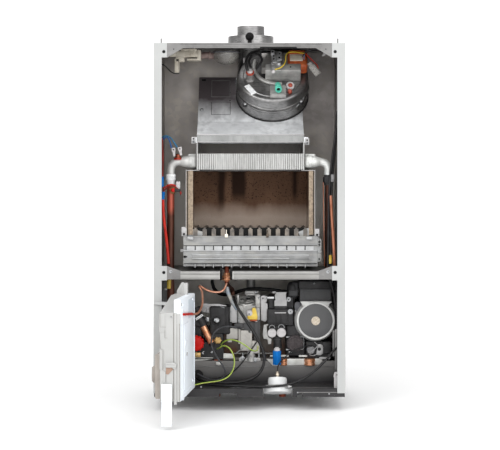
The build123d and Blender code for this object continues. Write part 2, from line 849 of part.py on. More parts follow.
def burner_front():
    """The burner's front plate: top bar, slotted strip, ribbed lower bar and slotted foot."""
    x0, x1 = exchanger_x - front_half_width, exchanger_x + front_half_width
    near = fin_y
    top, low = front_top_z, front_top_z - front_height
    plate = block((x0, near, low), (x1, near + front_plate, top))
    plate += block((x0, near - 8, low), (x1, near, low + front_plate))
    rib_z = top - 44
    plate += block((x0 + 18, near - front_rib, rib_z - 6), (x1 - 12, near, rib_z + 6))
    pitch = burner_pitch
    first = exchanger_x - pitch * (burner_count - 1) / 2
    for i in range(burner_count):
        x = first + pitch * i
        plate -= block((x - 6, near - 3, top - 31), (x + 6, near + 9, top - 28))
        plate -= block((x - 4, near - 7, low - 1), (x + 4, near - 3, low + 5))
    plate += block((x1, near, low + 12), (x1 + 8, near + front_plate, top - 6))
    plate -= rod((x1 + 4, near - 2, top - 13), (x1 + 4, near + 5, top - 13), 1.8)
    plate -= rod((x0 + 6, near - 5, rib_z), (x0 + 6, near + 5, rib_z), 2.2)
    return plate


def electrodes():
    """The ceramic-sheathed spark and flame electrodes that stand behind the front plate."""
    found = []
    y = fin_y - 4.3
    for x in (-49.0, 38.0):
        top = front_top_z
        sheath = rod((x, y, top - 8), (x, y, top + 9), 4)
        wire = rod((x, y, top + 8), (x, y, top + 19), 1.1)
        found += (sheath + wire).solids()
    return Compound(found)


def pipe_sensors():
    """The overheat thermostat on the left elbow, and the clip sensor on the flow pipe."""
    y = front_y + riser_depth
    x = -riser_x + 16
    seat = y - elbow_radius
    thermostat = rod((x, seat - 9, tube_z), (x, seat - 0.1, tube_z), 8)
    thermostat += rod((x, seat - 13, tube_z), (x, seat - 8, tube_z), 5)
    clip_z = 58.0
    low_corner = (-riser_x - 7, y - riser_radius - 9, clip_z - 6)
    clip = block(low_corner, (-riser_x + 7, y - riser_radius - 0.1, clip_z + 6))
    return Compound([*thermostat.solids(), *clip.solids()])


# ---------------------------------------------------------------- pipes


def flow_pipe():
    """The copper pipe from the left elbow down to the flow block."""
    y = front_y + riser_depth
    entry_y = tail_y + 26
    points = [
        (-riser_x, y, frame_top_z - 19 - collar_height),
        (-riser_x, y, flow_inlet_z + 18),
        (-riser_x + 2, entry_y, flow_inlet_z),
        (flow_block_left, entry_y, flow_inlet_z),
    ]
    return tube(points, riser_radius - 0.5, widest=18)


def return_pipe():
    """The copper pipe from the pump's outlet up to the right elbow."""
    y = front_y + riser_depth
    top = frame_top_z - 19 - collar_height
    crossing_z = chamber_floor_z - cross_rail_height
    outlet_x, outlet_y = pump_x + outlet_offset, volute_near() + 26
    points = [
        (riser_x, y, top),
        (riser_x, y, crossing_z),
        (outlet_x, outlet_y, crossing_z),
        (outlet_x, outlet_y, pump_z + volute_half),
    ]
    return tube(points, riser_radius - 1.5, widest=16)


def gas_pipe():
    """The burner's gas bar with its injectors, the pipe down to the gas valve, and its nut."""
    y = front_y + gas_pipe_depth
    bar_z = front_top_z - 49
    span = burner_pitch * (burner_count - 1) / 2 + 9
    works = rod((exchanger_x - span, y, bar_z), (exchanger_x + span, y, bar_z), manifold_radius)
    for i in range(burner_count):
        x = exchanger_x - burner_pitch * (burner_count - 1) / 2 + burner_pitch * i
        works += rod((x, y, bar_z), (x, y, burner_top_z - burner_height - 0.3), injector_radius)
    inlet_x, inlet_y, inlet_z = gas_inlet()
    points = [
        (gas_pipe_x, y, bar_z),
        (gas_pipe_x, y, inlet_z + 18),
        (inlet_x, inlet_y, inlet_z + 11),
        (inlet_x, inlet_y, inlet_z),
    ]
    works += tube(points, gas_pipe_radius, widest=8)
    works += hex_bar((gas_pipe_x, y, -136), (gas_pipe_x, y, -123), gas_nut_radius)
    return works


def pipe_tails():
    """The five pipe tails under the works, each with its copper nut."""
    found = []
    nut_top = strip_z - 1
    for x in tail_places:
        tail = rod((x, tail_y, tail_end_z), (x, tail_y, nut_top), tail_radius)
        nut_low = nut_top - tail_nut_height
        tail += hex_bar((x, tail_y, nut_low), (x, tail_y, nut_top), tail_nut_radius)
        tail -= rod((x, tail_y, tail_end_z - 1), (x, tail_y, nut_top + 1), tail_radius - tail_wall)
        found += tail.solids()
    return Compound(found)


# ---------------------------------------------------------------- hydraulics


def hydraulic_bracket():
    """The galvanised strip and shelf that the hydraulic blocks stand against."""
    y = tail_y + tail_nut_radius + 1.5
    back = -back_sheet - sheet - 0.1
    left, step, right = -riser_x, return_block_left + 8, pump_x + 18.5
    strip = block((step, y, strip_z - strip_height), (right, y + strip_sheet, strip_z))
    strip += block((left, y, strip_z - strip_lip), (step, y + strip_sheet, strip_z))
    low = strip_z - strip_sheet
    strip += block((left, y, low), (right, back, strip_z))
    for side in (-1, 1):
        edge = side * (half_width - sheet - 0.3)
        strip += block((side * right, back - bracket_arm, low), (edge, back, strip_z))
    return strip


def flow_manifold():
    """The brass flow block: main body, safety valve neck, diverter seat and tail ports."""
    neck_y = tail_y + block_depth - 12
    works = block((flow_block_left, block_near, block_low), (flow_block_right, block_far, flow_block_top))
    works += rod((knob_x, knob_face(), knob_z), (knob_x, neck_y, knob_z), valve_neck_radius)
    seat_y = tail_y + 20
    works += rod((seat_x, seat_y, flow_block_top - 2), (seat_x, seat_y, diverter_low - 0.3), seat_radius)
    for x in tail_places[:2]:
        works += rod((x, tail_y, strip_z - 1), (x, tail_y, strip_z + 5), tail_radius + tail_boss)
    bore_radius = knob_shaft_radius + turn_gap
    works -= rod((knob_x, knob_face() - 8, knob_z), (knob_x, tail_y + 16, knob_z), bore_radius)
    link_y = tail_y + 6
    foot_x = knob_x + 33
    link = [
        (foot_x, tail_y - 12, flow_inlet_z),
        (foot_x - 2, tail_y - 12, flow_inlet_z + 14),
        (knob_x + 4, link_y, flow_inlet_z + 68),
    ]
    works += tube(link, link_radius, widest=20)
    return works + rod(link[-1], (knob_x - 1, link_y + 3.3, flow_inlet_z + 78), link_nut_radius)


def knob_face():
    return block_near - 2


def safety_valve_knob():
    """The red knob that lifts the safety valve, on its spindle."""
    face = knob_face() - 0.3
    knob = rod((knob_x, face - knob_length, knob_z), (knob_x, face, knob_z), knob_radius)
    for i in range(knob_scallops):
        turn = math.radians(360 / knob_scallops * (i + 0.5))
        x = knob_x + (knob_radius + 2) * math.cos(turn)
        z = knob_z + (knob_radius + 2) * math.sin(turn)
        knob -= rod((x, face - knob_length - 1, z), (x, face - 5, z), 4.5)
    return knob + rod((knob_x, face - 1, knob_z), (knob_x, face + 22, knob_z), knob_shaft_radius)


def diverter_motor():
    """The black motor box on the diverter valve."""
    near = tail_y - 18
    low_corner = (diverter_left, near, diverter_low)
    works = block(low_corner, (diverter_right, near + diverter_depth, diverter_high))
    works = fillet(works.edges().filter_by(Axis.Z), 4)
    screw_x = diverter_left + 15.4
    screw_z = diverter_low + 18.7
    return works + rod((screw_x, near - 3, screw_z), (screw_x, near + 1, screw_z), 4)


def return_manifold():
    """The black composite return block, with its ports, turret and sensor caps."""
    left, right = return_block_left, return_block_right
    works = block((left, block_near, block_low), (right, block_far, return_block_top))
    works += block((left + 6, tail_y - 4, return_block_top - 1), (right - 3, block_far - 7, turret_high))
    cap_right = right - 14
    works += block((left + 23, tail_y - 10, turret_high - 2), (cap_right, tail_y + 40, turret_cap_high))
    pipe_x, pipe_y = right - 2, tail_y + 10
    works += rod((pipe_x, pipe_y, turret_high - 4), (pipe_x, pipe_y, turret_cap_high), turret_pipe_radius)
    works += Pos(pipe_x, pipe_y, turret_cap_high) * Sphere(turret_pipe_radius)
    works += rod((filter_x, block_near, filter_z), (filter_x, tail_y + 40, filter_z), filter_boss_radius)
    for share in (0.286, 0.592):
        x = left + share * return_span
        near = block_near - sensor_cap_reach
        works += rod((x, near, sensor_cap_z), (x, tail_y, sensor_cap_z), sensor_cap_radius)
    tap_y = block_near - tap_reach
    works += block((tap_x - 8, tap_y - 8, tap_top_z + 4), (tap_x + 8, tail_y, tap_top_z + 20))
    for x in tail_places[3:]:
        works += rod((x, tail_y, strip_z - 1), (x, tail_y, strip_z + 5), tail_radius + tail_boss)
    works += block((right - 3, block_near, block_low), (pump_x + 3.5, tail_y + 40, block_low + 17.7))
    works += block((pump_x - 16, tail_y - 16, block_low + 15.7), (pump_x + 8, tail_y + 10, filter_z + 4))
    tap_hole = tap_spindle_radius + turn_gap
    works -= rod((tap_x, tap_y, tap_top_z - 8), (tap_x, tap_y, tap_top_z + 17), tap_hole)
    filter_hole = filter_spindle_radius + turn_gap
    start, end = (filter_x, block_near - 2, filter_z), (filter_x, block_near + 35, filter_z)
    return works - rod(start, end, filter_hole)


def filling_tap():
    """The blue filling tap that hangs under its spindle."""
    y = block_near - tap_reach
    low = tap_top_z - tap_height
    tap = rod((tap_x, y, low), (tap_x, y, tap_top_z), tap_radius)
    for i in range(8):
        turn = math.radians(45 * i)
        groove_x = tap_x + (tap_radius + 0.8) * math.cos(turn)
        groove_y = y + (tap_radius + 0.8) * math.sin(turn)
        tap -= rod((groove_x, groove_y, low - 1), (groove_x, groove_y, tap_top_z - 6), 1.6)
    return tap + rod((tap_x, y, tap_top_z - 1), (tap_x, y, tap_top_z + 12), tap_spindle_radius)


def filter_cap():
    """The ribbed screw cap over the return filter."""
    face = block_near - 0.3
    inner = filter_radius - 1
    cap = rod((filter_x, face - filter_length, filter_z), (filter_x, face, filter_z), inner)
    for i in range(filter_ribs):
        turn = math.radians(360 / filter_ribs * i)
        x = filter_x + inner * math.cos(turn)
        z = filter_z + inner * math.sin(turn)
        cap += rod((x, face - filter_length + 1, z), (x, face, z), 1.2)
    return cap + rod((filter_x, face - 1, filter_z), (filter_x, face + 24, filter_z), filter_spindle_radius)


def plate_heat_exchanger():
    """The brazed plate exchanger between the flow and return blocks."""
    low_corner = (exchanger_plates_left, block_far + block_gap, block_low)
    far = block_far + exchanger_plates_depth
    return block(low_corner, (exchanger_plates_right, far, exchanger_plates_top))


def volute_near():
    return front_y + pump_front + pump_length


def pump_volute():
    """The pump casing behind the motor, hollow for its wheel."""
    near = volute_near()
    x0, x1 = pump_x - volute_half, pump_x + volute_half
    works = block((x0, near, pump_z - volute_half), (x1, near + volute_depth, pump_z + volute_half))
    port_x, port_y = pump_x - 10, near + 20
    port_top = pump_z - volute_half + 1
    works += rod((port_x, port_y, block_low), (port_x, port_y, port_top), volute_port_radius)
    hollow = rod((pump_x, near - 1, pump_z), (pump_x, near + 24, pump_z), pump_impeller_radius + 2)
    return works - hollow


def pump_motor():
    """The silver motor can with its front ring, and the terminal box on top."""
    near = front_y + pump_front
    far = volute_near()
    works = rod((pump_x, near, pump_z), (pump_x, far, pump_z), pump_radius)
    shoulder = pump_radius - 5
    works += block((pump_x - shoulder, near + 8, pump_z), (pump_x + shoulder, far, pump_z + pump_radius))
    box_low = pump_z + pump_radius
    box_x0, box_x1 = pump_x - terminal_half_width, pump_x + terminal_half_width
    box_near = near + 12
    box_far, box_high = box_near + terminal_depth, box_low + terminal_height
    works += block((box_x0, box_near, box_low), (box_x1, box_far, box_high))
    rim = pump_radius - 5.5
    works -= rod((pump_x, near - 1, pump_z), (pump_x, near + 2, pump_z), rim)
    rotor_hole = pump_rotor_radius + 1
    works -= rod((pump_x, near + 2 + pump_wall, pump_z), (pump_x, far - pump_wall, pump_z), rotor_hole)
    works -= rod((pump_x, near + 30, pump_z), (pump_x, far + 1, pump_z), pump_shaft_radius + turn_gap)
    return works - rod((pump_x, near - 1, pump_z), (pump_x, near + 9, pump_z), 5 + turn_gap)


def pump_rotor():
    """The rotor, its shaft and the pump wheel."""
    near = front_y + pump_front + 2 + pump_wall
    far = volute_near()
    works = rod((pump_x, near + 6, pump_z), (pump_x, far - pump_wall - 6, pump_z), pump_rotor_radius)
    works += rod((pump_x, near + 10, pump_z), (pump_x, far + 14, pump_z), pump_shaft_radius)
    return works + rod((pump_x, far + 4, pump_z), (pump_x, far + 18, pump_z), pump_impeller_radius)


def pump_vent_screw():
    """The slotted vent screw in the middle of the pump's face."""
    near = front_y + pump_front + 2
    works = rod((pump_x, near - vent_stand - 0.1, pump_z), (pump_x, near - 0.1, pump_z), vent_radius)
    works += rod((pump_x, near - 1, pump_z), (pump_x, near + 4.5, pump_z), 5)
    slot_y = near - vent_stand
    left, right = pump_x - vent_radius, pump_x + vent_radius
    return works - block((left, slot_y - 1, pump_z - 1), (right, slot_y + 1, pump_z + 1))


def gas_inlet():
    return (gas_pipe_x + 12.5, tail_y - 6, regulator_top + 8)


def gas_valve_body():
    """The cast gas valve: body, round regulator top, side flange and tail port."""
    left, right = gas_valve_left, gas_valve_right
    works = block((left, tail_y - 8, gas_valve_low), (right, tail_y + gas_valve_depth, gas_valve_high))
    x, y = right - 29, tail_y + 12
    works += rod((x, y, gas_valve_high - 1), (x, y, regulator_top), regulator_radius)
    works += block((left - 4, tail_y - 12, regulator_top - 14), (left + 20, tail_y + 20, gas_inlet()[2]))
    works += block((left + 14, block_near, gas_valve_low + 28), (right - 8, tail_y - 6, gas_valve_high - 8))
    port_x = gas_tail_x
    works += rod((port_x, tail_y, strip_z - 1), (port_x, tail_y, gas_valve_low + 6), tail_radius + 3)
    flange_low, flange_high = gas_valve_low + 6, gas_valve_low + 56
    flange_right = return_block_left - 0.5
    return works + block((right - 8, tail_y + 4, flange_low), (flange_right, tail_y + 30, flange_high))


def gas_valve_coil():
    """The operator plug on the gas valve's face, with its white button."""
    near = block_near - coil_depth
    works = block((coil_left, near, coil_low), (coil_right, block_near - 0.1, coil_high))
    works = fillet(works.edges().filter_by(Axis.Y), 3)
    button_z = (coil_low + coil_high) / 2
    button_x = coil_left + 8
    return works + rod((button_x, near - 4, button_z), (button_x, near + 1, button_z), coil_button_radius)


# ---------------------------------------------------------------- gauge


def gauge_plane():
    tilt = math.radians(gauge_tilt)
    up = (0, math.sin(tilt), math.cos(tilt))
    return Plane(origin=(gauge_x, front_y + gauge_depth, gauge_z), x_dir=(1, 0, 0), z_dir=up)


def pressure_gauge():
    """The water pressure gauge: bezel ring below, body above, and its nipple."""
    ring = can(-gauge_ring_height, 0, gauge_ring_radius)
    ring -= can(-gauge_ring_height - 1, -2.5, gauge_ring_radius - 3)
    body = can(-0.5, gauge_body_height, gauge_body_radius)
    nipple = can(gauge_body_height - 1, gauge_body_height + gauge_nipple, 3)
    seat = can(-2.6, 4, 1 + turn_gap)
    return gauge_plane() * (ring + body + nipple - seat)


def gauge_pointer():
    """The needle in front of the dial, on its spindle."""
    needle = Pos(0, 8, -3.6) * Box(2, 24, 0.8)
    needle += can(-4.2, -3.0, 3) + can(-3.5, 3, 1)
    return gauge_plane() * needle


# ---------------------------------------------------------------- control box


def swung_open(piece):
    """Turns a piece from the shut box about the hinge pin into its open rest place."""
    axis_y = front_y + hinge_depth
    return Pos(hinge_x, axis_y, 0) * Rot(0, 0, -box_open_angle) * piece


def box_block(u0, u1, v0, v1, z0, z1):
    """A box by distance along the shut control box (u), behind the hinge pin (v), and height."""
    return block((u0, v0, z0), (u1, v1, z1))


def control_box_shell():
    """The front shell of the control box with its knuckle, top horns and fascia opening."""
    far_v = box_front + box_thickness - cover_share
    shell = box_block(-box_heel, box_width, box_front, far_v, box_low_z, box_top_z)
    shell = chamfer(shell.edges().filter_by(Axis.Z).sort_by(Axis.X)[-2:], 5)
    inner = (-box_heel + box_wall, box_width - box_wall)
    heights = (box_low_z + box_wall, box_top_z - box_wall)
    shell -= box_block(*inner, box_front + box_wall, far_v + 1, *heights)
    shell += box_block(10, 24, 3, 14, box_top_z - 1, horn_top_z)
    shell += box_block(34, 46, 18, 23, box_top_z - 1, horn_top_z)
    knuckle = rod((0, 0, knuckle_low), (0, 0, knuckle_high), knuckle_radius)
    shell -= rod((0, 0, box_low_z - 1), (0, 0, box_top_z + 1), knuckle_radius + 4)
    wall = rod((0, 0, knuckle_low), (0, 0, knuckle_high), knuckle_radius + 5.5)
    wall &= box_block(-box_heel, 14, box_front, 14, knuckle_low, knuckle_high)
    pin_hole = rod((0, 0, box_low_z), (0, 0, box_top_z), hinge_pin_radius + hinge_gap)
    shell += knuckle + wall - pin_hole
    for u in dial_places():
        shaft_hole = dial_shaft_radius + 3
        shell -= rod((u, box_front - 3, dial_z()), (u, box_front + 5, dial_z()), shaft_hole)
    return shell


def dial_places():
    return (dial_inset, box_width - dial_inset)


def dial_z():
    return (fascia_top_z + box_low_z) / 2


def control_box_cover():
    """The flat rear cover of the control box."""
    v1 = box_front + box_thickness
    v0 = v1 - cover_share
    cover = box_block(-box_heel, box_width, v0, v1, box_low_z, box_top_z)
    inner = (-box_heel + box_wall, box_width - box_wall)
    heights = (box_low_z + box_wall, box_top_z - box_wall)
    return cover - box_block(*inner, v0 - 1, v1 - box_wall, *heights)


def box_fascia():
    """The raised fascia over the lower part of the box, holed for its dials and button."""
    front = box_front - fascia_rise
    u0, u1 = fascia_margin, box_width - fascia_margin
    low, high, wall = box_low_z + 2, fascia_top_z, 2.5
    plate = box_block(u0, u1, front, box_front, low, high)
    plate = fillet(plate.faces().sort_by(Axis.Y)[0].edges(), 5)
    plate -= box_block(u0 + wall, u1 - wall, front + wall, box_front + 1, low + wall, high - wall)
    middle = sum(dial_places()) / 2
    for u, radius in (*((u, dial_shaft_radius) for u in dial_places()), (middle, button_radius)):
        plate += rod((u, front + 2, dial_z()), (u, box_front, dial_z()), radius + 2.5)
        plate -= rod((u, front - 1, dial_z()), (u, box_front + 1, dial_z()), radius + turn_gap)
    return plate


def dial(u):
    """A fascia dial with its pointer rib, on its shaft."""
    face = box_front - fascia_rise - dial_gap
    knob = rod((u, face - dial_height, dial_z()), (u, face, dial_z()), dial_radius)
    knob = chamfer(knob.faces().sort_by(Axis.Y)[0].edges(), 1.5)
    crest = face - dial_height
    knob += box_block(u - 2, u + 2, crest - 2, crest + 1, dial_z() - 14, dial_z() + 14)
    return knob + rod((u, face - 1, dial_z()), (u, box_front + 1, dial_z()), dial_shaft_radius)


def reset_button():
    """The push button between the dials; its foot keeps it in the fascia."""
    middle = sum(dial_places()) / 2
    near = box_front - fascia_rise - button_travel - 1.5
    far = box_front - button_travel - 0.6
    return rod((middle, near, dial_z()), (middle, far, dial_z()), button_radius)


def circuit_board():
    """The control board with its transformer, relays and terminal row."""
    v = box_front + box_thickness - cover_share - board_gap
    board_low, board_high = box_low_z + board_gap, box_top_z - board_gap
    works = box_block(20, box_width - board_gap, v, v + 1.6, board_low, board_high)
    works += box_block(30, 68, v - 22, v + 0.5, -240, -200)
    works += box_block(90, 170, v - 12, v + 0.5, -215, -200)
    works += box_block(100, 125, v - 14, v + 0.5, -190, -175)
    post_end = v + board_gap + cover_share - box_wall
    for u in (28, box_width - 16):
        for z in (board_low + 39, board_high - 21):
            works += rod((u, v, z), (u, post_end, z), 3)
    return works


def bay_flap():
    """The hanging flap at the box's far end, hinged on a pin through its lugs."""
    u0, u = box_width + 4, flap_pin_u()
    v0, v1 = flap_near, flap_near + flap_width
    low = flap_pin_z - flap_length
    flap = box_block(u0, u0 + flap_sheet, v0, v1, low, flap_pin_z)
    flap += box_block(u0 - 3, u0 + flap_sheet + 2, v0, v1, low, low + 5)
    flap += rod((u, v0, flap_pin_z), (u, v1, flap_pin_z), 2 * flap_pin_radius)
    pin_hole = flap_pin_radius + turn_gap
    return flap - rod((u, v0 - 1, flap_pin_z), (u, v1 + 1, flap_pin_z), pin_hole)


def flap_pin_u():
    return box_width + 4 + flap_sheet / 2


def flap_hinge():
    """The two ears and the pin on the box's far end that carry the flap."""
    u = flap_pin_u()
    ear = 2.2
    near, far = flap_near - 0.3, flap_near + flap_width + 0.3
    low, high = flap_pin_z - 3, flap_pin_z + 3
    ears = box_block(box_width - 1, u + 3, near - ear, near, low, high)
    ears += box_block(box_width - 1, u + 3, far, far + ear, low, high)
    return ears + rod((u, near - ear, flap_pin_z), (u, far + ear, flap_pin_z), flap_pin_radius)


# ---------------------------------------------------------------- cords and fine pipes


def cords():
    """The loose wires of the lower works, each from its port to the gland, a stud or a clip."""
    bung_x, bung_y, bung_z = gland_place()
    bung_y -= 1
    harness = [
        (-34, block_near + 2, -173),
        (-33, -226, -175),
        (-27, -241, -190),
        (-12, -245, -212),
        (4, -247, -236),
        (19, -249, -260),
        (30, -250, -284),
        (32, -251, -308),
        (22, -252, -331),
        (0, -252, -345),
        (-30, -250, -351),
        (-60, -246, -351),
        (-82, -242, -350),
        (-98, -237, -346),
        (-107, -229, bung_z - 3),
        (bung_x + 5, bung_y, bung_z - 2),
    ]
    box_lead = [
        (bung_x - 4, bung_y, bung_z - 5),
        (-116, -232, -349),
        (-98, -252, -352.5),
        (-62, -272, -352.9),
        (-22, -284, -352.4),
        (20, -289, -352.9),
        (58, -290.5, -352.2),
        (92, -285, -347),
        (122, -275, -334),
        (half_width - 52, -268, -314),
        (half_width - 32, -264, -292),
        (half_width - 19, -260, -276),
        (half_width - sheet, -254, -268),
    ]
    gas_earth = [
        (-62, block_near, -276),
        (-58, -223, -268),
        (-43, -233, -260),
        (-25, -238, -263),
        (-8, -239, -273),
        (5, -238, -284),
        (16, -230, -286),
        (19, -217, -280),
        (17, tail_y - 8, -276),
    ]
    tray_earth = [
        (-70, block_near, -284),
        (-66, -224, -281),
        (-55, -235, -272),
        (-40, -240, -279),
        (-31, -243, -302),
        (-34, -247, -324),
        (-45, -253, -338),
        (-60, -262, -344),
        (-80, -271, -345.5),
        (-100, -279, -347),
        (-113, -282, -350),
        (earth_stud_x + 4, earth_stud_y(), -351),
    ]
    valve_lead = [
        (-19, block_near, -240),
        (-26, -226, -237),
        (-42, -232, -232),
        (-63, -233, -235),
        (-79, -234, -249),
        (-83, -235, -270),
        (-74, -236, -291),
        (-60, -237, -311),
        (-49, -238, -329),
        (-57, -237, -345),
        (-80, -233, -348),
        (-100, -226, -341),
        (bung_x + 4, bung_y, bung_z + 5),
    ]
    tip = gauge_plane() * Pos(0, 0, gauge_body_height + gauge_nipple)
    tip_x, tip_y, tip_z = tuple(tip.position)
    gauge_pipe = [
        (tip_x, tip_y, tip_z),
        (tip_x + 1, tip_y + 4, tip_z + 13),
        (73, -240, -300),
        (pump_x - 54.5, -236, -287),
        (pump_x - 35.5, -232, -279),
        (pump_x - 18.5, -227, -276),
        (pump_x - 8, tail_y - 16, -277),
    ]
    earths = []
    for name, route in (("gas_earth", gas_earth), ("tray_earth", tray_earth)):
        earths += tube(route, 1.3, name=name).solids()
    return {
        "harness_cable": tube(harness, 3.2, name="harness"),
        "box_lead": tube(box_lead, 2.4, name="box_lead"),
        "earth_wires": Compound(earths),
        "valve_lead": tube(valve_lead, 1.8, name="valve_lead"),
        "gauge_pipe": tube(gauge_pipe, 1.3, name="gauge_pipe"),
    }


def capillary():
    """The fixed stretch of the copper capillary, from the gas valve up and over towards the box."""
    x, y, z = gas_inlet()
    points = [
        (x - 7, y + 14, z),
        (x - 8, y + 13, z + 13),
        (x - 18, y + 2, z + 18),
        (-72, -232, -157),
        (-90, -243, -152),
        (-104, -251, -144),
        (-109, -258, -156),
        (-103, -263, -173),
        (-108, -268, -189),
        (-111, -272, -200),
    ]
    return tube(points, 1.6, name="capillary")


def capillary_sleeve():
    """The red-sleeved stretch of the capillary that lies along the control box's cover."""
    v = box_front + box_thickness + sleeve_radius + 0.3
    return rod((60, v, sleeve_z), (box_width - 25, v, sleeve_z), sleeve_radius)


def build_all():
    pan, duct = fan_housing()
    stack, coil, legs = fan_motor()
    base = fan_plane()
    parts = {
        "left_side_panel": left_side_panel(),
        "right_side_panel": side_panel(1),
        "back_panel": back_panel(),
        "top_panel": top_panel(),
        "cross_rail": cross_rail(),
        "sealed_chamber": sealed_chamber(),
        "bottom_tray": bottom_tray(),
        "hydraulic_bracket": hydraulic_bracket(),
        "flue_outlet": flue_outlet(),
        "expansion_vessel": expansion_vessel(),
        "flue_hood": flue_hood(),
        "fan_housing": Compound([*pan.solids(), duct]),
        "fan_cover": fan_cover(),
        "fan_impeller": fan_impeller(),
        "fan_motor_frame": fan_motor_frame(),
        "fan_motor": base * Compound([*stack.solids(), *coil.solids(), *legs.solids()]),
        "pressure_nozzles": pressure_nozzles(),
        "pressure_switch": pressure_switch(),
        "heat_exchanger_fins": heat_exchanger_fins(),
        "heat_exchanger_tubes": heat_exchanger_tubes(),
        "insulation_boards": insulation_boards(),
        "chamber_frame": chamber_frame(),
        "burner_blades": burner_blades(),
        "burner_front": burner_front(),
        "electrodes": electrodes(),
        "pipe_sensors": pipe_sensors(),
        "flow_pipe": flow_pipe(),
        "return_pipe": return_pipe(),
        "gas_pipe": gas_pipe(),
        "pipe_tails": pipe_tails(),
        "flow_manifold": flow_manifold(),
        "diverter_motor": diverter_motor(),
        "safety_valve_knob": safety_valve_knob(),
        "return_manifold": return_manifold(),
        "plate_heat_exchanger": plate_heat_exchanger(),
        "pump_volute": pump_volute(),
        "pump_motor": pump_motor(),
        "pump_rotor": pump_rotor(),
        "pump_vent_screw": pump_vent_screw(),
        "filling_tap": filling_tap(),
        "filter_cap": filter_cap(),
        "gas_valve_body": gas_valve_body(),
        "gas_valve_coil": gas_valve_coil(),
        "pressure_gauge": pressure_gauge(),
        "gauge_pointer": gauge_pointer(),
        "control_box_shell": swung_open(control_box_shell() + flap_hinge()),
        "control_box_cover": swung_open(control_box_cover()),
        "box_fascia": swung_open(box_fascia()),
        "heating_knob": swung_open(dial(dial_places()[0])),
        "water_knob": swung_open(dial(dial_places()[1])),
        "reset_button": swung_open(reset_button()),
        "circuit_board": swung_open(circuit_board()),
        "bay_flap": swung_open(bay_flap()),
        "capillary": capillary(),
        "capillary_sleeve": swung_open(capillary_sleeve()),
        **cords(),
    }
    return parts


os.makedirs("parts", exist_ok=True)
for name, shape in build_all().items():
    export_step(shape, f"parts/{name}.step")
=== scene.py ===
import bmesh
import bpy
import math
import numpy as np
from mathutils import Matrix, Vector


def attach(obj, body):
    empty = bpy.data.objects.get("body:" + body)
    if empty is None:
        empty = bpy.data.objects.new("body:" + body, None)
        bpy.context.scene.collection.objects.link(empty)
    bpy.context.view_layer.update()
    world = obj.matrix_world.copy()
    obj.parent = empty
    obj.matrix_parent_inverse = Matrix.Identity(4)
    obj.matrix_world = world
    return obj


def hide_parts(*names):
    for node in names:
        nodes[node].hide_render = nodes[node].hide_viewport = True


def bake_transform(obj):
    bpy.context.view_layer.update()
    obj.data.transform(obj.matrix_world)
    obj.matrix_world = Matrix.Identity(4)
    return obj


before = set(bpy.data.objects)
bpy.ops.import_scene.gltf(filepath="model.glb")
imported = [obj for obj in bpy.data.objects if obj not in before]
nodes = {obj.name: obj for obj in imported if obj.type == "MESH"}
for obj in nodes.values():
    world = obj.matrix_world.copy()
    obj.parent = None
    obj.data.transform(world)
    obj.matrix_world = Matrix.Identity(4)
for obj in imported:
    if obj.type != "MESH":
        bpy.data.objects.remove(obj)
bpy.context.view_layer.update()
print("frame loaded,", len(nodes), "nodes")

# All lengths below are in millimetres, in the boiler's own frame: X right, Y towards the wall, Z up.
# First the camera, then tools for nodes and colours, finishes, shapes, and the pieces from top to bottom.

cameraSettings = {"distance": 3199, "height": 85, "lens": 100.24, "shiftRight": 0.001, "shiftDown": 0.0956}


def addCamera(s):
    data = bpy.data.cameras.new("frontCamera")
    data.lens, data.sensor_width = s["lens"], 36
    data.shift_x, data.shift_y = s["shiftRight"], -s["shiftDown"]
    cam = bpy.data.objects.new("frontCamera", data)
    cam.location = (0, -s["distance"] / 1000, s["height"] / 1000)
    cam.rotation_euler = (math.radians(90), 0, 0)
    bpy.context.collection.objects.link(cam)
    bpy.context.scene.camera = cam


addCamera(cameraSettings)


def toLinear(hexColour):
    # sRGB hex to linear light, channel by channel
    parts = [int(hexColour[i:i + 2], 16) / 255 for i in (1, 3, 5)]
    return tuple(c / 12.92 if c <= 0.04045 else ((c + 0.055) / 1.055) ** 2.4 for c in parts) + (1,)


def addNode(tree, kind, settings=None, inputs=None):
    # one node: settings are its own fields, inputs are values or sockets to link from
    node = tree.nodes.new(kind)
    for key, value in (settings or {}).items():
        setattr(node, key, value)
    for key, value in (inputs or {}).items():
        if isinstance(value, bpy.types.NodeSocket):
            tree.links.new(value, node.inputs[key])
        else:
            node.inputs[key].default_value = value
    return node


def layTint(tree, colour, tint, *ranges):
    # lays a tint over a colour by the product of ranges: a value, where it starts and where it is full
    share = None
    for value, low, high in ranges:
        ramp = addNode(tree, "ShaderNodeMapRange", {"clamp": True},
            {"Value": value, "From Min": low, "From Max": high}).outputs[0]
        share = ramp if share is None else addNode(tree, "ShaderNodeMath", {"operation": "MULTIPLY"},
            {0: share, 1: ramp}).outputs[0]
    return addNode(tree, "ShaderNodeMix", {"data_type": "RGBA"}, {0: share, 6: colour, 7: toLinear(tint)
        if isinstance(tint, str) else tint}).outputs[2]


def patternAt(tree, sizeMm, stretch=(1, 1, 1), detail=4, kind="ShaderNodeTexNoise"):
    # a pattern whose blotches or cells are about sizeMm across, on the piece's own coordinates
    where = addNode(tree, "ShaderNodeTexCoord").outputs["Object"]
    scaled = addNode(tree, "ShaderNodeMapping", None, {"Vector": where, "Scale": stretch})
    inputs = {"Vector": scaled.outputs[0], "Scale": 1000 / sizeMm}
    if kind == "ShaderNodeTexNoise":
        inputs["Detail"] = detail
    return addNode(tree, kind, None, inputs).outputs


def look(base, second=None, blotchMm=40, rough=0.5, roughTo=None, metallic=None, **more):
    # base and second colour, the blotches' size, roughness from and to; more is read by makeFinish
    return {"base": base, "second": second, "blotchMm": blotchMm, "rough": rough, "roughTo": roughTo,
        "metallic": metallic, **more}


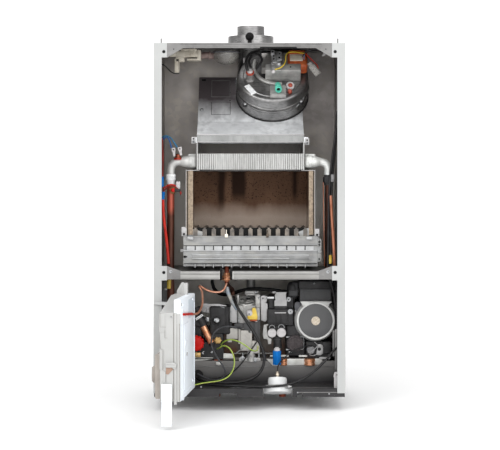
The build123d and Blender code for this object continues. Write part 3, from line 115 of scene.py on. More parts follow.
def makeFinish(name, s):
    # a finish in layers: base, blotchy second colour, zinc flakes, streaks, a tint along one axis, relief
    mat = bpy.data.materials.new(name)
    mat.use_nodes = True
    tree = mat.node_tree
    shader = tree.nodes["Principled BSDF"]
    fixed = {"Metallic": s["metallic"] or 0, "Roughness": s["rough"]}
    if s["metallic"] is None:
        fixed["Specular IOR Level"] = s.get("specular", 0.3)
    if "through" in s:  # part of the light goes through, so what is behind shows dimly
        fixed.update({"Transmission Weight": s["through"], "IOR": 1.58})
    for key, value in fixed.items():
        shader.inputs[key].default_value = value
    colour = toLinear(s["base"])
    if s["second"]:
        blotches = patternAt(tree, s["blotchMm"], s.get("stretch", (1, 1, 1)), 5)[0]
        colour = layTint(tree, colour, s["second"], (blotches, 0.42, 0.62))
    if "flake" in s:  # flat crystals a few millimetres across, each a little lighter or darker
        tint, sizeMm = s["flake"]
        cells = patternAt(tree, sizeMm, kind="ShaderNodeTexVoronoi")["Color"]
        grey = addNode(tree, "ShaderNodeSeparateColor", None, {0: cells}).outputs[0]
        colour = layTint(tree, colour, tint, (grey, 0, 1))
    if "streak" in s:
        tint, sizeMm, stretch, low, high = s["streak"]
        colour = layTint(tree, colour, tint, (patternAt(tree, sizeMm, stretch, 3)[0], low, high))
    if "along" in s:  # a slow change of colour along one axis, between two places whose border wavers
        axis, low, high, tint, waver = s["along"]
        where = addNode(tree, "ShaderNodeTexCoord").outputs["Object"]
        apart = addNode(tree, "ShaderNodeSeparateXYZ", None, {0: where}).outputs[axis]
        place = addNode(tree, "ShaderNodeMath", {"operation": "MULTIPLY_ADD"},
            {0: patternAt(tree, 35, detail=3)[0], 1: waver, 2: apart}).outputs[0]
        colour = layTint(tree, colour, tint, (place, low / 1000, high / 1000))
    if isinstance(colour, tuple):
        shader.inputs["Base Color"].default_value = colour
    else:
        tree.links.new(colour, shader.inputs["Base Color"])
    if s["roughTo"]:
        cloud = patternAt(tree, s.get("roughMm", 12))[0]
        value = addNode(tree, "ShaderNodeMapRange", None, {"Value": cloud, "From Min": 0.3, "From Max": 0.7,
            "To Min": s["rough"], "To Max": s["roughTo"]})
        tree.links.new(value.outputs[0], shader.inputs["Roughness"])
    if "bump" in s:
        sizeMm, strength, depth, stretch = s["bump"] + (0.4, (1, 1, 1))[len(s["bump"]) - 2:]
        relief = patternAt(tree, sizeMm, stretch, 3)[0]
        bump = addNode(tree, "ShaderNodeBump", None,
            {"Height": relief, "Strength": strength, "Distance": depth / 1000})
        tree.links.new(bump.outputs[0], shader.inputs["Normal"])
    return mat


finishes = {
    # each is named for the real material and how its surface was made; the note says what that gives the eye
    # polyester powder coat: white satin with a faint orange peel
    "powderCoatWhite": look("#aeafae", "#a8a9a8", 180, 0.38, 0.46, bump=(1.6, 0.12)),
    # the sealed chamber's sheet, lighter lower down as painted light against the shade of the deep recess
    "chamberZinc": look("#7f7a77", "#979189", 90, 0.42, 0.6, 0.45, flake=("#8b8683", 9),
        along=(2, 170, 70, "#b9b5af", 0.03), roughMm=40, bump=(5, 0.1)),
    # hot-dip galvanised sheet, dulled: mid grey with soft spangle and handling smears
    "galvanisedDull": look("#7f7a77", "#979189", 90, 0.42, 0.6, 0.45, flake=("#8b8683", 9),
        roughMm=40, bump=(5, 0.1)),
    # galvanised sheet, fresh: bright folded rails and the flue hood
    "galvanisedBright": look("#939292", "#a6a5a5", 60, 0.32, 0.48, 0.6, flake=("#9d9c9c", 8),
        roughMm=25, bump=(4, 0.08)),
    # stove enamel on the tray: near-black, satin, slightly dusty
    "trayEnamel": look("#2c2b2c", "#353435", 70, 0.45, 0.6, bump=(1.2, 0.12)),
    # spun and die-cast aluminium of the fan: bright, with turned marks and dark oxide patches
    "spunAluminium": look("#807f7f", "#9b9a99", 26, 0.26, 0.42, 0.85,
        streak=("#626161", 9, (1, 1, 5), 0.5, 0.8), roughMm=9, bump=(3, 0.1)),
    # the fan's face: the same spun sheet, darkened towards the top as painted shade
    "fanFaceAluminium": look("#7c7b7b", "#959493", 26, 0.28, 0.42, 0.85,
        streak=("#626161", 9, (1, 1, 5), 0.5, 0.8), along=(2, 318, 344, "#2f2e2e", 0.03), roughMm=9,
        bump=(3, 0.1)),
    # gravity-cast aluminium: light grey, sand-textured, satin
    "castAluminium": look("#9c9b99", "#b4b3b0", 14, 0.42, 0.6, 0.55, roughMm=6, bump=(1.4, 0.35)),
    # silver-painted elbows and headers: pale grey, soft sheen
    "silverPaint": look("#b9b9b7", "#c9c9c6", 18, 0.36, 0.5, 0.35, bump=(2, 0.12)),
    # the wall panel behind everything: plain zinc with a faint spangle
    "wallZinc": look("#a39f9a", "#b3afa9", 90, 0.4, 0.55, 0.45, flake=("#aeaaa4", 9),
        bump=(3, 0.08)),
    # the right-hand header, turned more to the light
    "silverBright": look("#cfd0cd", "#dcddda", 18, 0.36, 0.5, 0.35, bump=(2, 0.12)),
    # rolled aluminium fins: near white edges with fine dark joints
    "finAluminium": look("#a8a8a6", "#b8b8b6", 12, 0.4, 0.55, 0.35, stretch=(3, 1, 0.4)),
    # gloss paint on the vessel: brick red
    "vesselRed": look("#8a1f17", "#9a2a20", 120, 0.3, 0.4, bump=(3, 0.08)),
    # stainless burner bars: straw and blue-grey heat tint, dull
    "heatTintedSteel": look("#5d5955", "#80786f", 16, 0.45, 0.62, 0.7, bump=(2, 0.1)),
    # aluminised burner front: matt light grey, a little stained
    "aluminisedSteel": look("#7e7e7e", "#919292", 30, 0.4, 0.58, 0.5,
        streak=("#94938f", 14, (0.4, 1, 2), 0.45, 0.7), bump=(3, 0.12)),
    # glazed ceramic: cream-white gloss
    "glazedCeramic": look("#ece6da", "#e0d8c8", 8, 0.22, 0.3),
    # turned brass: yellow, fine lathe marks, slightly tarnished
    "turnedBrass": look("#a98a5a", "#c2a26c", 9, 0.3, 0.48, 0.85, bump=(1, 0.1)),
    # drawn copper tube: salmon to brown with tarnish
    "drawnCopper": look("#8d4a36", "#6b3425", 22, 0.3, 0.46, 0.8, stretch=(1, 1, 0.4),
        bump=(4, 0.06)),
    # flow pipe: painted salmon above, bare brown copper below
    "agedCopper": look("#3d1f15", "#532d1e", 18, 0.34, 0.5, 0.55, stretch=(1, 1, 0.3),
        along=(2, 24, 36, "#9c4a39", 0.03)),
    # brazed stainless plates: a dark warm grey that is painted shade deep in the works, with copper lines
    # between
    "brazedPlates": look("#4c4743", "#5c5650", 20, 0.3, 0.42, 0.75,
        streak=("#5e4030", 4, (0.1, 1, 0.1), 0.45, 0.7)),
    # glass-filled nylon: black, fine satin grain
    "nylonBlack": look("#1d1c1d", "#2a292a", 20, 0.4, 0.55, bump=(1, 0.2)),
    # painted cast iron: charcoal, pitted; the hood's lower pressed window borrows it as painted shade
    "castIronPaintAndShade": look("#242425", "#333334", 12, 0.5, 0.65, bump=(1.6, 0.4)),
    # glossy moulded plastics
    "redNylon": look("#b0100b", "#be1912", 14, 0.3, 0.38, specular=0.15),
    "blueNylon": look("#0060ac", "#0369b6", 10, 0.3, 0.4, specular=0.15),
    "yellowNylon": look("#cfae3c", "#dcc25e", 9, 0.32, 0.4),
    "tealNylon": look("#4fb9a2", "#62c7b1", 8, 0.36, 0.44),
    "whiteAcetal": look("#bdbaba", "#b2afaf", 10, 0.3, 0.4),
    "creamNylon": look("#c9c2b4", "#b8b0a1", 15, 0.42, 0.52),
    # injection-moulded ABS of the control box: bluish white, soft gloss, faint grain
    "absWhite": look("#e3e7ea", "#d9dee2", 60, 0.34, 0.44, bump=(0.9, 0.08)),
    # grained ABS fascia: warm beige grey
    "absBeige": look("#a09992", "#968f88", 40, 0.45, 0.55, bump=(0.7, 0.25)),
    # the same moulding on the end that faces the room, greyer as painted shade
    "absFront": look("#b0b0ae", "#a9a9a7", 60, 0.36, 0.46, bump=(0.9, 0.08)),
    # pressed zinc of the flue hood: bright low down, darker towards the top, with soft vertical wipes
    "hoodZinc": look("#e9ebed", "#d6d8da", 55, 0.34, 0.46, 0.3,
        streak=("#c6c8ca", 13, (1, 1, 0.25), 0.45, 0.7), along=(2, 222, 285, "#4a4446", 0.05), roughMm=25,
        bump=(4, 0.06)),
    # return elbow and pipe: copper browned nearly black by heat; the gas riser's lower run borrows it as
    # painted shade
    "smokedCopperAndShade": look("#4a2a1e", "#33201a", 20, 0.34, 0.5, 0.7, stretch=(1, 1, 0.4)),
    # bright annealed copper tube: pale salmon with brown handling marks
    "tubeCopper": look("#b87a60", "#96583f", 14, 0.32, 0.44, 0.6, stretch=(1, 1, 0.4)),
    # brass browned by heat
    "brownedBrass": look("#5f4b2e", "#7a6440", 5, 0.36, 0.5, 0.7),
    # moulded cap of the test nozzle: brownish red, dull
    "capRed": look("#8f3a2c", "#a5503f", 6, 0.4, 0.5),
    # ceramic gone dark with soot at the flame
    "sootedCeramic": look("#3a332c", "#5c5146", 5, 0.5, 0.65),
    "absGrey": look("#4c4c50", "#5a5a5e", 9, 0.4, 0.5),
    # nickel-plated vent screw: warm silver
    "nickelPlate": look("#a79c8c", "#bdb3a4", 4, 0.28, 0.4, 0.9),
    # zinc-plated fixings: bright, slightly blue
    "zincPlate": look("#a2a3a4", "#8a8c8e", 5, 0.25, 0.38, 0.85),
    # solder-resist green board
    "boardGreen": look("#1f5a33", "#2c6e42", 6, 0.35, 0.45),
    # PVC sheath: black with a dull shine
    "sheathBlack": look("#1b1a1b", "#282728", 15, 0.36, 0.46),
    "sheathGrey": look("#37373a", "#48484b", 15, 0.36, 0.46),
    "sheathRed": look("#c72a1c", "#b32115", 20, 0.38, 0.48),
    "sheathBlue": look("#1f62a8", "#18528f", 20, 0.38, 0.48),
    "sheathTeal": look("#1d6f97", "#175c7f", 20, 0.38, 0.48),
    "sheathDarkRed": look("#7d1a12", "#66140e", 20, 0.38, 0.48),
    # the same zinc sheet in the fold's shade: rails and hood seams
    "galvanisedShade": look("#6a6968", "#7e7d7c", 50, 0.4, 0.5, 0.5, flake=("#767574", 8),
        bump=(4, 0.08)),
    "sheathSky": look("#7fb0d6", "#6a9cc4", 20, 0.38, 0.48),
    "sheathYellow": look("#dfc23a", "#cfb02c", 20, 0.38, 0.48),
    # varnished copper winding under orange tape
    "windingTape": look("#a34a26", "#bd6236", 10, 0.32, 0.45, bump=(2.4, 0.4, 0.4, (1, 0.15, 0.15))),
    # stacked silicon-steel laminations: fine edge lines
    "laminatedSteel": look("#8f8d8a", "#a5a29e", 1.6, 0.35, 0.5, 0.6, stretch=(0.05, 1, 1)),
    # stainless bolt heads: bright, faintly turned
    "stainlessBolt": look("#cfd0d1", "#b9babb", 3, 0.26, 0.36, 0.8),
    # die-cast nozzle plate: mid grey, sandy, a little oxidised
    "oxidisedPlate": look("#72706f", "#8c8a88", 8, 0.42, 0.56, 0.5, bump=(1.4, 0.3)),
    # the same spun sheet, dark as painted shade in the motor's well
    "wellShadeAluminium": look("#3c3b3b", "#575655", 18, 0.4, 0.55, 0.6),
    "shadowBlack": look("#0c0c0c", "#141414", 3, 0.8),
    # polyester label film, bare: satin white, a little grey at its rubbed places
    "whiteFilm": look("#eceded", "#d5d6d7", 7, 0.34, 0.44),
    # moulded nylon gone brown near the heat: dull, blotchy
    "smokedNylon": look("#6d5c58", "#86756f", 9, 0.42, 0.55),
    # the hood's folded front, darker than the slope above as painted shade: mid grey zinc with faint vertical
    # wipes
    "hoodBandZinc": look("#868786", "#969796", 40, 0.38, 0.5, 0.4,
        streak=("#7a7b7a", 12, (1, 1, 0.2), 0.45, 0.7), bump=(4, 0.05)),
    # the folds of the burner front, lighter as painted highlights
    "burnerFold": look("#acadae", "#9fa0a0", 24, 0.34, 0.46, 0.35),
    # lacquered aluminium disc: charcoal, with a soft sheen
    "charcoalDisc": look("#333335", "#3e3e40", 26, 0.34, 0.46, 0.25,
        along=(2, -262, -236, "#505051", 0.004), bump=(1.2, 0.06)),
    # spark-eroded nylon box: dark grey, matt
    "absCharcoal": look("#474748", "#404041", 22, 0.5, 0.6, bump=(0.8, 0.25)),
    # glass-filled nylon screw cap: brown-black, its ribs rubbed paler
    "ribbedNylon": look("#332d2e", "#423b3c", 5, 0.42, 0.55, bump=(0.9, 0.2)),
    # moulded acetal, mid grey: satin
    "absSilverGrey": look("#807f80", "#8e8d8e", 7, 0.4, 0.5),
    # passivated zinc strip: pale, nearly white where the light meets it
    "zincSatin": look("#c9c9c5", "#b8b7b2", 16, 0.38, 0.5, 0.3, bump=(3, 0.08)),
    # polished copper union: bright salmon with lathe shine
    "polishedCopper": look("#d09a78", "#b97a56", 8, 0.26, 0.38, 0.75, bump=(1.2, 0.08)),
    # turned aluminium: near white on the rim, fine rings
    "turnedAluminium": look("#c4c3c0", "#dcdbd8", 7, 0.28, 0.4, 0.55, stretch=(1, 1, 5),
        bump=(1, 0.06)),
    # zinc die casting: pale warm grey, satin with flow marks
    "valvePale": look("#a8a5a0", "#b9b6b0", 18, 0.42, 0.55, 0.2, bump=(1.6, 0.2)),
    # stove enamel, grey, lighter above and darker towards the floor
    "skirtEnamel": look("#2d2c2d", "#39383a", 60, 0.42, 0.56, along=(2, -350, -306, "#73716f", 0.006),
        bump=(1.4, 0.1)),
    # annealed copper capillary: pale salmon, soft shine
    "paleCopper": look("#c98a6e", "#dba68c", 12, 0.34, 0.44, 0.6),
    # bright rolled zinc sheet: pale grey with long soft rolling streaks
    "railZinc": look("#908f8d", "#a09f9c", 60, 0.36, 0.5, 0.3,
        streak=("#82807c", 26, (0.12, 1, 3), 0.45, 0.7), bump=(4, 0.05)),
    # cut edge of pressed ceramic fibre: pale cream, crumbly
    "fibreCut": look("#9b8c79", "#7f7163", 4, 0.9, bump=(1.8, 0.7, 0.8)),
    # moulded rubber: black, dull, faint bloom
    "rubberBlack": look("#0e0d0e", "#171617", 12, 0.5, 0.62, specular=0.15, bump=(1.4, 0.15)),
    # moulded acetal case, white, soft gloss
    "gaugeWhite": look("#d9dada", "#cfd0d0", 16, 0.36, 0.46),
    # the same moulding, ribbed, greyer in its hollow as painted shade
    "gaugeGrey": look("#8f8f8d", "#a3a3a1", 5, 0.5, 0.6, bump=(1.2, 0.3)),
    # the same moulded ABS in copies with painted shade: plain white on the back face, greyer in the pocket
    # that lies deeper, darker in the joints' shadow gaps and darker and warmer in the latch's well
    "absWhiteBack": look("#e9eff5", "#e9eff5", 50, 0.42, 0.52, bump=(0.9, 0.08)),
    "absPocket": look("#cdd6de", "#cdd6de", 40, 0.42, 0.52, bump=(0.9, 0.08)),
    "absJointShade": look("#86827c", "#86827c", 9, 0.42, 0.52, bump=(0.9, 0.08)),
    "absWarmShade": look("#9a8070", "#9a8070", 9, 0.42, 0.52, bump=(0.9, 0.08)),
    # polycarbonate and clear PVC: what is behind shows dimly
    "clearPolycarbonate": look("#b9b4ae", "#d8d4cc", 30, 0.16, 0.26, through=0.7),
    "clearHosePvc": look("#a8b6c4", "#d8d4cc", 30, 0.16, 0.26, through=0.35),
}
mats = {name: makeFinish(name, s) for name, s in finishes.items()}


def makeFibreBoard(name, s):
    # pressed ceramic fibre: cream crumbly front edge, brown baked inner face, soot above, pale ash below
    mat = makeFinish(name, look(s["cream"], s["creamShade"], 3.5, 0.9, bump=(1.8, 0.7, 1)))
    tree = mat.node_tree
    baseColour = tree.nodes["Principled BSDF"].inputs["Base Color"]
    cream = baseColour.links[0].from_socket
    x, y, z = addNode(tree, "ShaderNodeSeparateXYZ", None,
        {0: addNode(tree, "ShaderNodeTexCoord").outputs["Object"]}).outputs
    cloud = patternAt(tree, 55, (1, 1, 0.45), 5)[0]
    streak = patternAt(tree, 34, (1, 1, 0.22), 4)[0]
    wave, sway = (addNode(tree, "ShaderNodeMath", {"operation": "MULTIPLY_ADD"},
        {0: pattern, 1: reach, 2: place}).outputs[0]
        for pattern, reach, place in ((cloud, 0.035, z), (streak, 0.016, x)))
    brown = layTint(tree, toLinear(s["brown"]), s["brownDark"], (cloud, 0.4, 0.65))
    brown = layTint(tree, brown, s["ash"], (wave, 0.046, 0.012))
    for x0, x1, low in s["sootRuns"]:  # soot runs down the board between two places, fading at its foot
        brown = layTint(tree, brown, s["soot"], (sway, (x0 + 4) / 1000, (x0 + 12) / 1000),
            (sway, (x1 + 12) / 1000, (x1 + 4) / 1000), (z, (low - 8) / 1000, (low + 22) / 1000))
    brown = layTint(tree, brown, s["speck"], (patternAt(tree, 2.6, detail=1)[0], 0.62, 0.68),
        (z, 0.02, 0.04))
    tree.links.new(layTint(tree, cream, brown, (y, s["edgeY"] / 1000, (s["edgeY"] + 3) / 1000)), baseColour)
    return mat


boardSettings = {"cream": "#97897a", "creamShade": "#7a6b58", "brown": "#6f5340", "brownDark": "#5b4232",
    "ash": "#a9998c", "soot": "#2b190f", "speck": "#2c1b13", "edgeY": -249.6,
    "sootRuns": ((-70, -56, 14), (-40, -8, 28), (96, 108, 30))}
mats["ceramicFibreBoard"] = makeFibreBoard("ceramicFibreBoard", boardSettings)


def makeEarthSheath(name, yellow, green):
    # PVC core in green and yellow: two colours side by side along the wire, by the curve's own UV
    mat = makeFinish(name, look(yellow, rough=0.38))
    tree = mat.node_tree
    uv = addNode(tree, "ShaderNodeSeparateXYZ", None, {0: addNode(tree, "ShaderNodeTexCoord").outputs["UV"]})
    turn = addNode(tree, "ShaderNodeMath", {"operation": "PINGPONG"}, {0: uv.outputs[1], 1: 0.5}).outputs[0]
    colour = layTint(tree, toLinear(yellow), green, (turn, 0.33, 0.36))
    tree.links.new(colour, tree.nodes["Principled BSDF"].inputs["Base Color"])
    return mat


mats["sheathEarth"] = makeEarthSheath("sheathEarth", "#d5da76", "#8fae40")
print("finishes made,", len(mats))


# shapes, worked out in millimetres as (points, faces)

def unit(v):
    v = np.asarray(v, float)
    return v / np.linalg.norm(v, axis=-1, keepdims=True)


def rows(text):
    # rows of numbers with a comma between two rows: the points of an outline, a profile or a route, or blocks
    return [[float(number) for number in row.split()] for row in text.split(",")]


def asPoints(points):
    return np.asarray(rows(points) if isinstance(points, str) else points, float)


def gridFaces(lines, cols, ring=True):
    # four corners of every cell of a grid of lines by cols, joined round if it is a ring
    row = np.arange(lines - 1)[:, None] * cols
    col = np.arange(cols if ring else cols - 1)[None, :]
    after = (col + 1) % cols
    return np.stack([row + col, row + after, row + cols + after, row + cols + col], -1).reshape(-1,
        4).tolist()


def curved(points, stepMm=3):
    # Catmull-Rom: between b and c the cubic 1/2(2b + (c-a)t + (2a-5b+4c-d)t^2 + (3b-a-3c+d)t^3)
    p = asPoints(points)
    p = np.vstack([2 * p[0] - p[1], p, 2 * p[-1] - p[-2]])
    runs = []
    for a, b, c, d in zip(p[:-3], p[1:-2], p[2:-1], p[3:]):
        t = np.linspace(0, 1, max(2, int(np.linalg.norm(c - b) / stepMm)), endpoint=False)[:, None]
        runs.append(0.5 * (2 * b + (c - a) * t + (2 * a - 5 * b + 4 * c - d) * t ** 2
            + (3 * b - a - 3 * c + d) * t ** 3))
    return np.vstack(runs + [p[-2][None]])


def cornered(points, bend, count=6):
    # straight runs with each corner replaced by a quadratic arc that starts and ends bend away from it
    p = asPoints(points)
    out = [p[0][None]]
    t = np.linspace(0, 1, count)[:, None]
    for a, b, c in zip(p[:-2], p[1:-1], p[2:]):
        first = b + unit(a - b) * min(bend, 0.49 * np.linalg.norm(a - b))
        last = b + unit(c - b) * min(bend, 0.49 * np.linalg.norm(c - b))
        out.append((1 - t) ** 2 * first + 2 * t * (1 - t) * b + t ** 2 * last)
    return np.vstack(out + [p[-1][None]])


def tube(line, radius, sides=14, flat=1):
    # a circle carried along the line: line(s) + r(s)(cos a side(s) + flat sin a up(s)), both ends closed
    line = asPoints(line)
    ahead = unit(np.gradient(line, axis=0))
    side = np.empty_like(line)
    guess = np.cross(ahead[0], (0.31, 0.17, 0.93))
    for i, step in enumerate(ahead):  # the side direction is carried on, so the tube never twists
        guess = unit(guess - step * guess.dot(step))
        side[i] = guess
    up = np.cross(ahead, side)
    angle = np.linspace(0, 2 * np.pi, sides, endpoint=False)[None, :, None]
    r = np.broadcast_to(np.asarray(radius, float), len(line))[:, None, None]
    points = line[:, None] + r * (np.cos(angle) * side[:, None] + flat * np.sin(angle) * up[:, None])
    faces = gridFaces(len(line), sides)
    faces += [list(range(sides))[::-1], list(range((len(line) - 1) * sides, len(line) * sides))]
    return points.reshape(-1, 3), faces


def lathe(profile, sides=40, centre=(0, 0, 0), axis=(0, 0, 1)):
    # a profile (radius, height) turned about an axis: centre + h axis + r(cos a x + sin a y)
    p = asPoints(profile)
    z = unit(axis)
    x = unit(np.cross(z, (0, 1, 0)) if abs(z[1]) < 0.9 else np.cross(z, (0, 0, 1)))
    y = np.cross(z, x)
    angle = np.linspace(0, 2 * np.pi, sides, endpoint=False)[None, :, None]
    ring = np.cos(angle) * x + np.sin(angle) * y
    points = np.asarray(centre, float) + p[:, 1, None, None] * z + p[:, 0, None, None] * ring
    faces = gridFaces(len(p), sides)
    faces += [list(range(sides))[::-1], list(range((len(p) - 1) * sides, len(p) * sides))]
    return points.reshape(-1, 3), faces


def boss(profile, sides, centre):
    # a turned part whose axis points at the viewer
    return lathe(profile, sides, centre, (0, -1, 0))


def block(x0, y0, z0, x1, y1, z1, radius=0.8, steps=2):
    # rounded block: r n(u, v) + (half - r) sign(n), with n a point of the unit sphere
    low, high = np.array([[x0, y0, z0], [x1, y1, z1]], float)
    half = (high - low) / 2
    r = min(radius, 0.98 * half.min())
    quarter = np.linspace(0, 90, steps + 1)
    u = np.radians(np.concatenate([quarter + 90 * q for q in range(4)]))
    uSign = np.repeat([[1, 1], [-1, 1], [-1, -1], [1, -1]], steps + 1, axis=0)
    v = np.radians(np.concatenate([quarter - 90, quarter]))
    vSign = np.repeat([-1, 1], steps + 1)
    n = np.stack([np.cos(v)[:, None] * np.cos(u), np.cos(v)[:, None] * np.sin(u),
        np.sin(v)[:, None] * np.ones_like(u)], -1)
    sign = np.stack([np.broadcast_to(uSign[:, 0], n.shape[:2]), np.broadcast_to(uSign[:, 1], n.shape[:2]),
        np.broadcast_to(vSign[:, None], n.shape[:2])], -1)
    points = (low + high) / 2 + r * n + (half - r) * sign
    cols = len(u)
    faces = gridFaces(len(v), cols) + [list(range(cols))[::-1],
        list(range((len(v) - 1) * cols, len(v) * cols))]
    return points.reshape(-1, 3), faces


def blocks(text):
    # one block a row: its two corners, its edge radius, and the steps round an edge where they aren't 2
    return [block(*row[:7], *map(int, row[7:])) for row in rows(text)]


def circle(x, y, radius, count=24):
    a = np.linspace(0, 2 * np.pi, count, endpoint=False)
    return np.stack([x + radius * np.cos(a), y + radius * np.sin(a)], -1)


def slab(outline, thickness, holes=(), edge=0.25):
    # a flat outline with its holes filled, from 0 up to its thickness, with rounded edges
    curve = bpy.data.curves.new("flat", "CURVE")
    curve.dimensions, curve.fill_mode = "2D", "BOTH"
    curve.extrude, curve.bevel_depth, curve.bevel_resolution = thickness / 2 - edge, edge, 1
    curve.offset = -edge
    for ring in map(asPoints, (outline, *holes)):
        spline = curve.splines.new("POLY")
        spline.points.add(len(ring) - 1)
        spline.points.foreach_set("co", np.column_stack([ring, np.zeros(len(ring)),
            np.ones(len(ring))]).ravel())
        spline.use_cyclic_u = True
    holder = bpy.data.objects.new("flat", curve)
    mesh = bpy.data.meshes.new_from_object(holder)
    points = np.empty(len(mesh.vertices) * 3)
    mesh.vertices.foreach_get("co", points)
    faces = [list(p.vertices) for p in mesh.polygons]
    bpy.data.objects.remove(holder)
    bpy.data.meshes.remove(mesh)
    bpy.data.curves.remove(curve)
    return points.reshape(-1, 3) + (0, 0, thickness / 2), faces


def placed(shape, origin=(0, 0, 0), xDir=(1, 0, 0), zDir=(0, 0, 1)):
    # local x, y, z laid along the given directions from the origin
    x, z = unit(xDir), unit(zDir)
    return shape[0] @ np.array([x, np.cross(z, x), z]) + np.asarray(origin, float), shape[1]


def scalloped(radius, depth, lobes, count=240):
    # a circle whose radius dips by depth between its lobes: r(a) = radius - depth (1 - cos(lobes a)) / 2
    a = np.linspace(0, 2 * np.pi, count, endpoint=False)
    r = radius - depth * (1 - np.cos(lobes * a)) / 2
    return np.stack([r * np.cos(a), r * np.sin(a)], -1)


def facing(outline, thickness, y, x=0, z=0, holes=(), edge=0.3):
    # an outline in X and Z about (x, z), its face towards the viewer at depth y
    return placed(slab(outline, thickness, holes, edge), (x, y + thickness, z), (1, 0, 0), (0, -1, 0))


def oblong(x0, z0, x1, z1, radius=1):
    # a rectangle with its corners rounded
    corners = [(x1 - radius, z1 - radius, 0), (x0 + radius, z1 - radius, 90),
        (x0 + radius, z0 + radius, 180), (x1 - radius, z0 + radius, 270)]
    turn = np.radians(np.arange(0, 91, 18))
    return np.vstack([np.column_stack([cx + radius * np.cos(turn + math.radians(a)),
        cz + radius * np.sin(turn + math.radians(a))]) for cx, cz, a in corners])


def screwHead(centre, axis, radius=3.4, height=2, washer=0):
    # pan head: a low dome with a flat, on a washer if it has one
    h = np.array([[radius, 0], [radius, 0.35 * height], [0.88 * radius, 0.72 * height],
        [0.62 * radius, 0.93 * height], [0.3 * radius, height]])
    shapes = [lathe(h, 20, centre, axis)]
    if washer:
        shapes.append(lathe([[washer, 0], [washer, 0.6], [washer - 0.3, 0.8]], 24, centre, axis))
    z = unit(axis)
    x = unit(np.cross(z, (0.3, 0.2, 1)))
    top = np.asarray(centre, float) + z * height
    return shapes, placed(crossSlot(radius), top, x, z)


def screwHeads(screws):
    # the heads and the crosses of several screws, one row of screwHead's values each
    made = [screwHead(*row) for row in screws]
    return [shape for head, cross in made for shape in head], [cross for head, cross in made]


def crossSlot(radius):
    # a cross recess, drawn as a dark cross a hair above the head
    a, b = 0.62 * radius, 0.16 * radius
    cross = [(a, b), (b, b), (b, a), (-b, a), (-b, b), (-a, b), (-a, -b), (-b, -b), (-b, -a), (b, -a),
        (b, -b), (a, -b)]
    return slab(cross, 0.12, edge=0.02)


def hexShape(centre, axis, flats, height, edge=0.7):
    # hexagon: a six-sided prism with its end corners chamfered
    r = flats / math.sqrt(3)
    return lathe([[r - edge, 0], [r, edge * 0.6], [r, height - edge * 0.6], [r - edge, height]], 6, centre,
        axis)


pieceCount = 0


def piece(name, finish, shapes, body="root", replaces="", angle=38):
    # joins the shapes into one mesh in metres, welds it, turns its faces outwards and lets it ride on a body
    global pieceCount
    faces, base = [], 0
    for shapePoints, shapeFaces in shapes:
        faces += [[i + base for i in face] for face in shapeFaces]
        base += len(shapePoints)
    mesh = bpy.data.meshes.new(name)
    mesh.from_pydata(np.vstack([shape[0] for shape in shapes]) / 1000, [], faces)
    bm = bmesh.new()
    bm.from_mesh(mesh)
    bmesh.ops.remove_doubles(bm, verts=bm.verts, dist=2e-6)
    bmesh.ops.recalc_face_normals(bm, faces=bm.faces)
    bm.to_mesh(mesh)
    bm.free()
    mesh.shade_smooth()
    mesh.set_sharp_from_angle(angle=math.radians(angle))
    mesh.materials.append(mats[finish])
    obj = bpy.data.objects.new(name, mesh)
    bpy.context.collection.objects.link(obj)
    if body:
        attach(obj, body)
    if replaces:
        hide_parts(*replaces.split())
    pieceCount += 1
    return obj


# cords: NURBS lines with the routes' points as control points

def layCords(cords):
    # each cord is one open NURBS spline of order 3 that starts and ends at its first and last point
    for name, (finish, diameter, slot, length, stiffness, route, *replaced) in cords.items():
        curve = bpy.data.curves.new(name, "CURVE")
        curve.dimensions = "3D"
        curve.bevel_depth, curve.bevel_resolution, curve.resolution_u = diameter / 2000, 5, 10
        curve.use_fill_caps = True
        places = [[c / 1000 for c in place] for place in rows(route)]
        spline = curve.splines.new("NURBS")
        spline.points.add(len(places) - 1)
        for point, place in zip(spline.points, places):
            point.co = (*place, 1)
        spline.order_u = 3
        spline.use_endpoint_u = True
        spline.use_smooth = True
        curve.materials.append(mats[finish])
        obj = bpy.data.objects.new(name, curve)
        bpy.context.collection.objects.link(obj)
        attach(obj, "root")
        if replaced:
            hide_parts(*replaced)


cableRuns = {
    # name: finish, diameter, slot, length, stiffness, route, and the CAD node that it stands for if any
    "motorCable": ("sheathBlack", 6.4, "black_cable", 349.5, "medium",
        "-34 -207 -173, -33 -226 -175, -27 -241 -190, -12 -245 -212, 4 -247 -236, 19 -249 -260, "
        "30 -250 -284, 32 -251 -308, 22 -252 -331, 0 -252 -345, -30 -250 -351, -60 -246 -351, -82 -242 -350, "
        "-98 -237 -346, -107 -229 -344, -110 -216 -343", "harness_cable"),
    "controlBoxCable": ("sheathBlack", 4.8, "black_cable", 379.3, "medium",
        "-119 -216 -346, -116 -232 -349, -98 -252 -352.5, -62 -272 -352.9, -22 -284 -352.4, 20 -289 -352.9, "
        "58 -290.5 -352.2, 92 -285 -347, 122 -275 -334, 148 -268 -314, 168 -264 -292, 181 -260 -276, "
        "199 -254 -268", "box_lead"),
    "gasValveEarth": ("sheathEarth", 2.6, "earth_cable", 132.1, "medium",
        "-62 -209 -276, -58 -223 -268, -43 -233 -260, -25 -238 -263, -8 -239 -273, 5 -238 -284, "
        "16 -230 -286, 19 -217 -280, 17 -203 -276", "earth_wires"),
    "trayEarth": ("sheathEarth", 2.6, "earth_cable", 200.1, "medium",
        "-70 -209 -284, -66 -224 -281, -55 -235 -272, -40 -240 -279, -31 -243 -302, -34 -247 -324, "
        "-45 -253 -338, -60 -262 -344, -80 -271 -345.5, -100 -279 -347, -113 -282 -350, -124 -283 -351"),
    "diverterCable": ("sheathGrey", 3.6, "grey_cable", 241.8, "medium",
        "-19 -209 -240, -26 -226 -237, -42 -232 -232, -63 -233 -235, -79 -234 -249, -83 -235 -270, "
        "-74 -236 -291, -60 -237 -311, -49 -238 -329, -57 -237 -345, -80 -233 -348, -100 -226 -341, "
        "-111 -216 -336", "valve_lead"),
}
layCords(cableRuns)
print("cords laid")


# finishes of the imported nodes, left in their own shapes

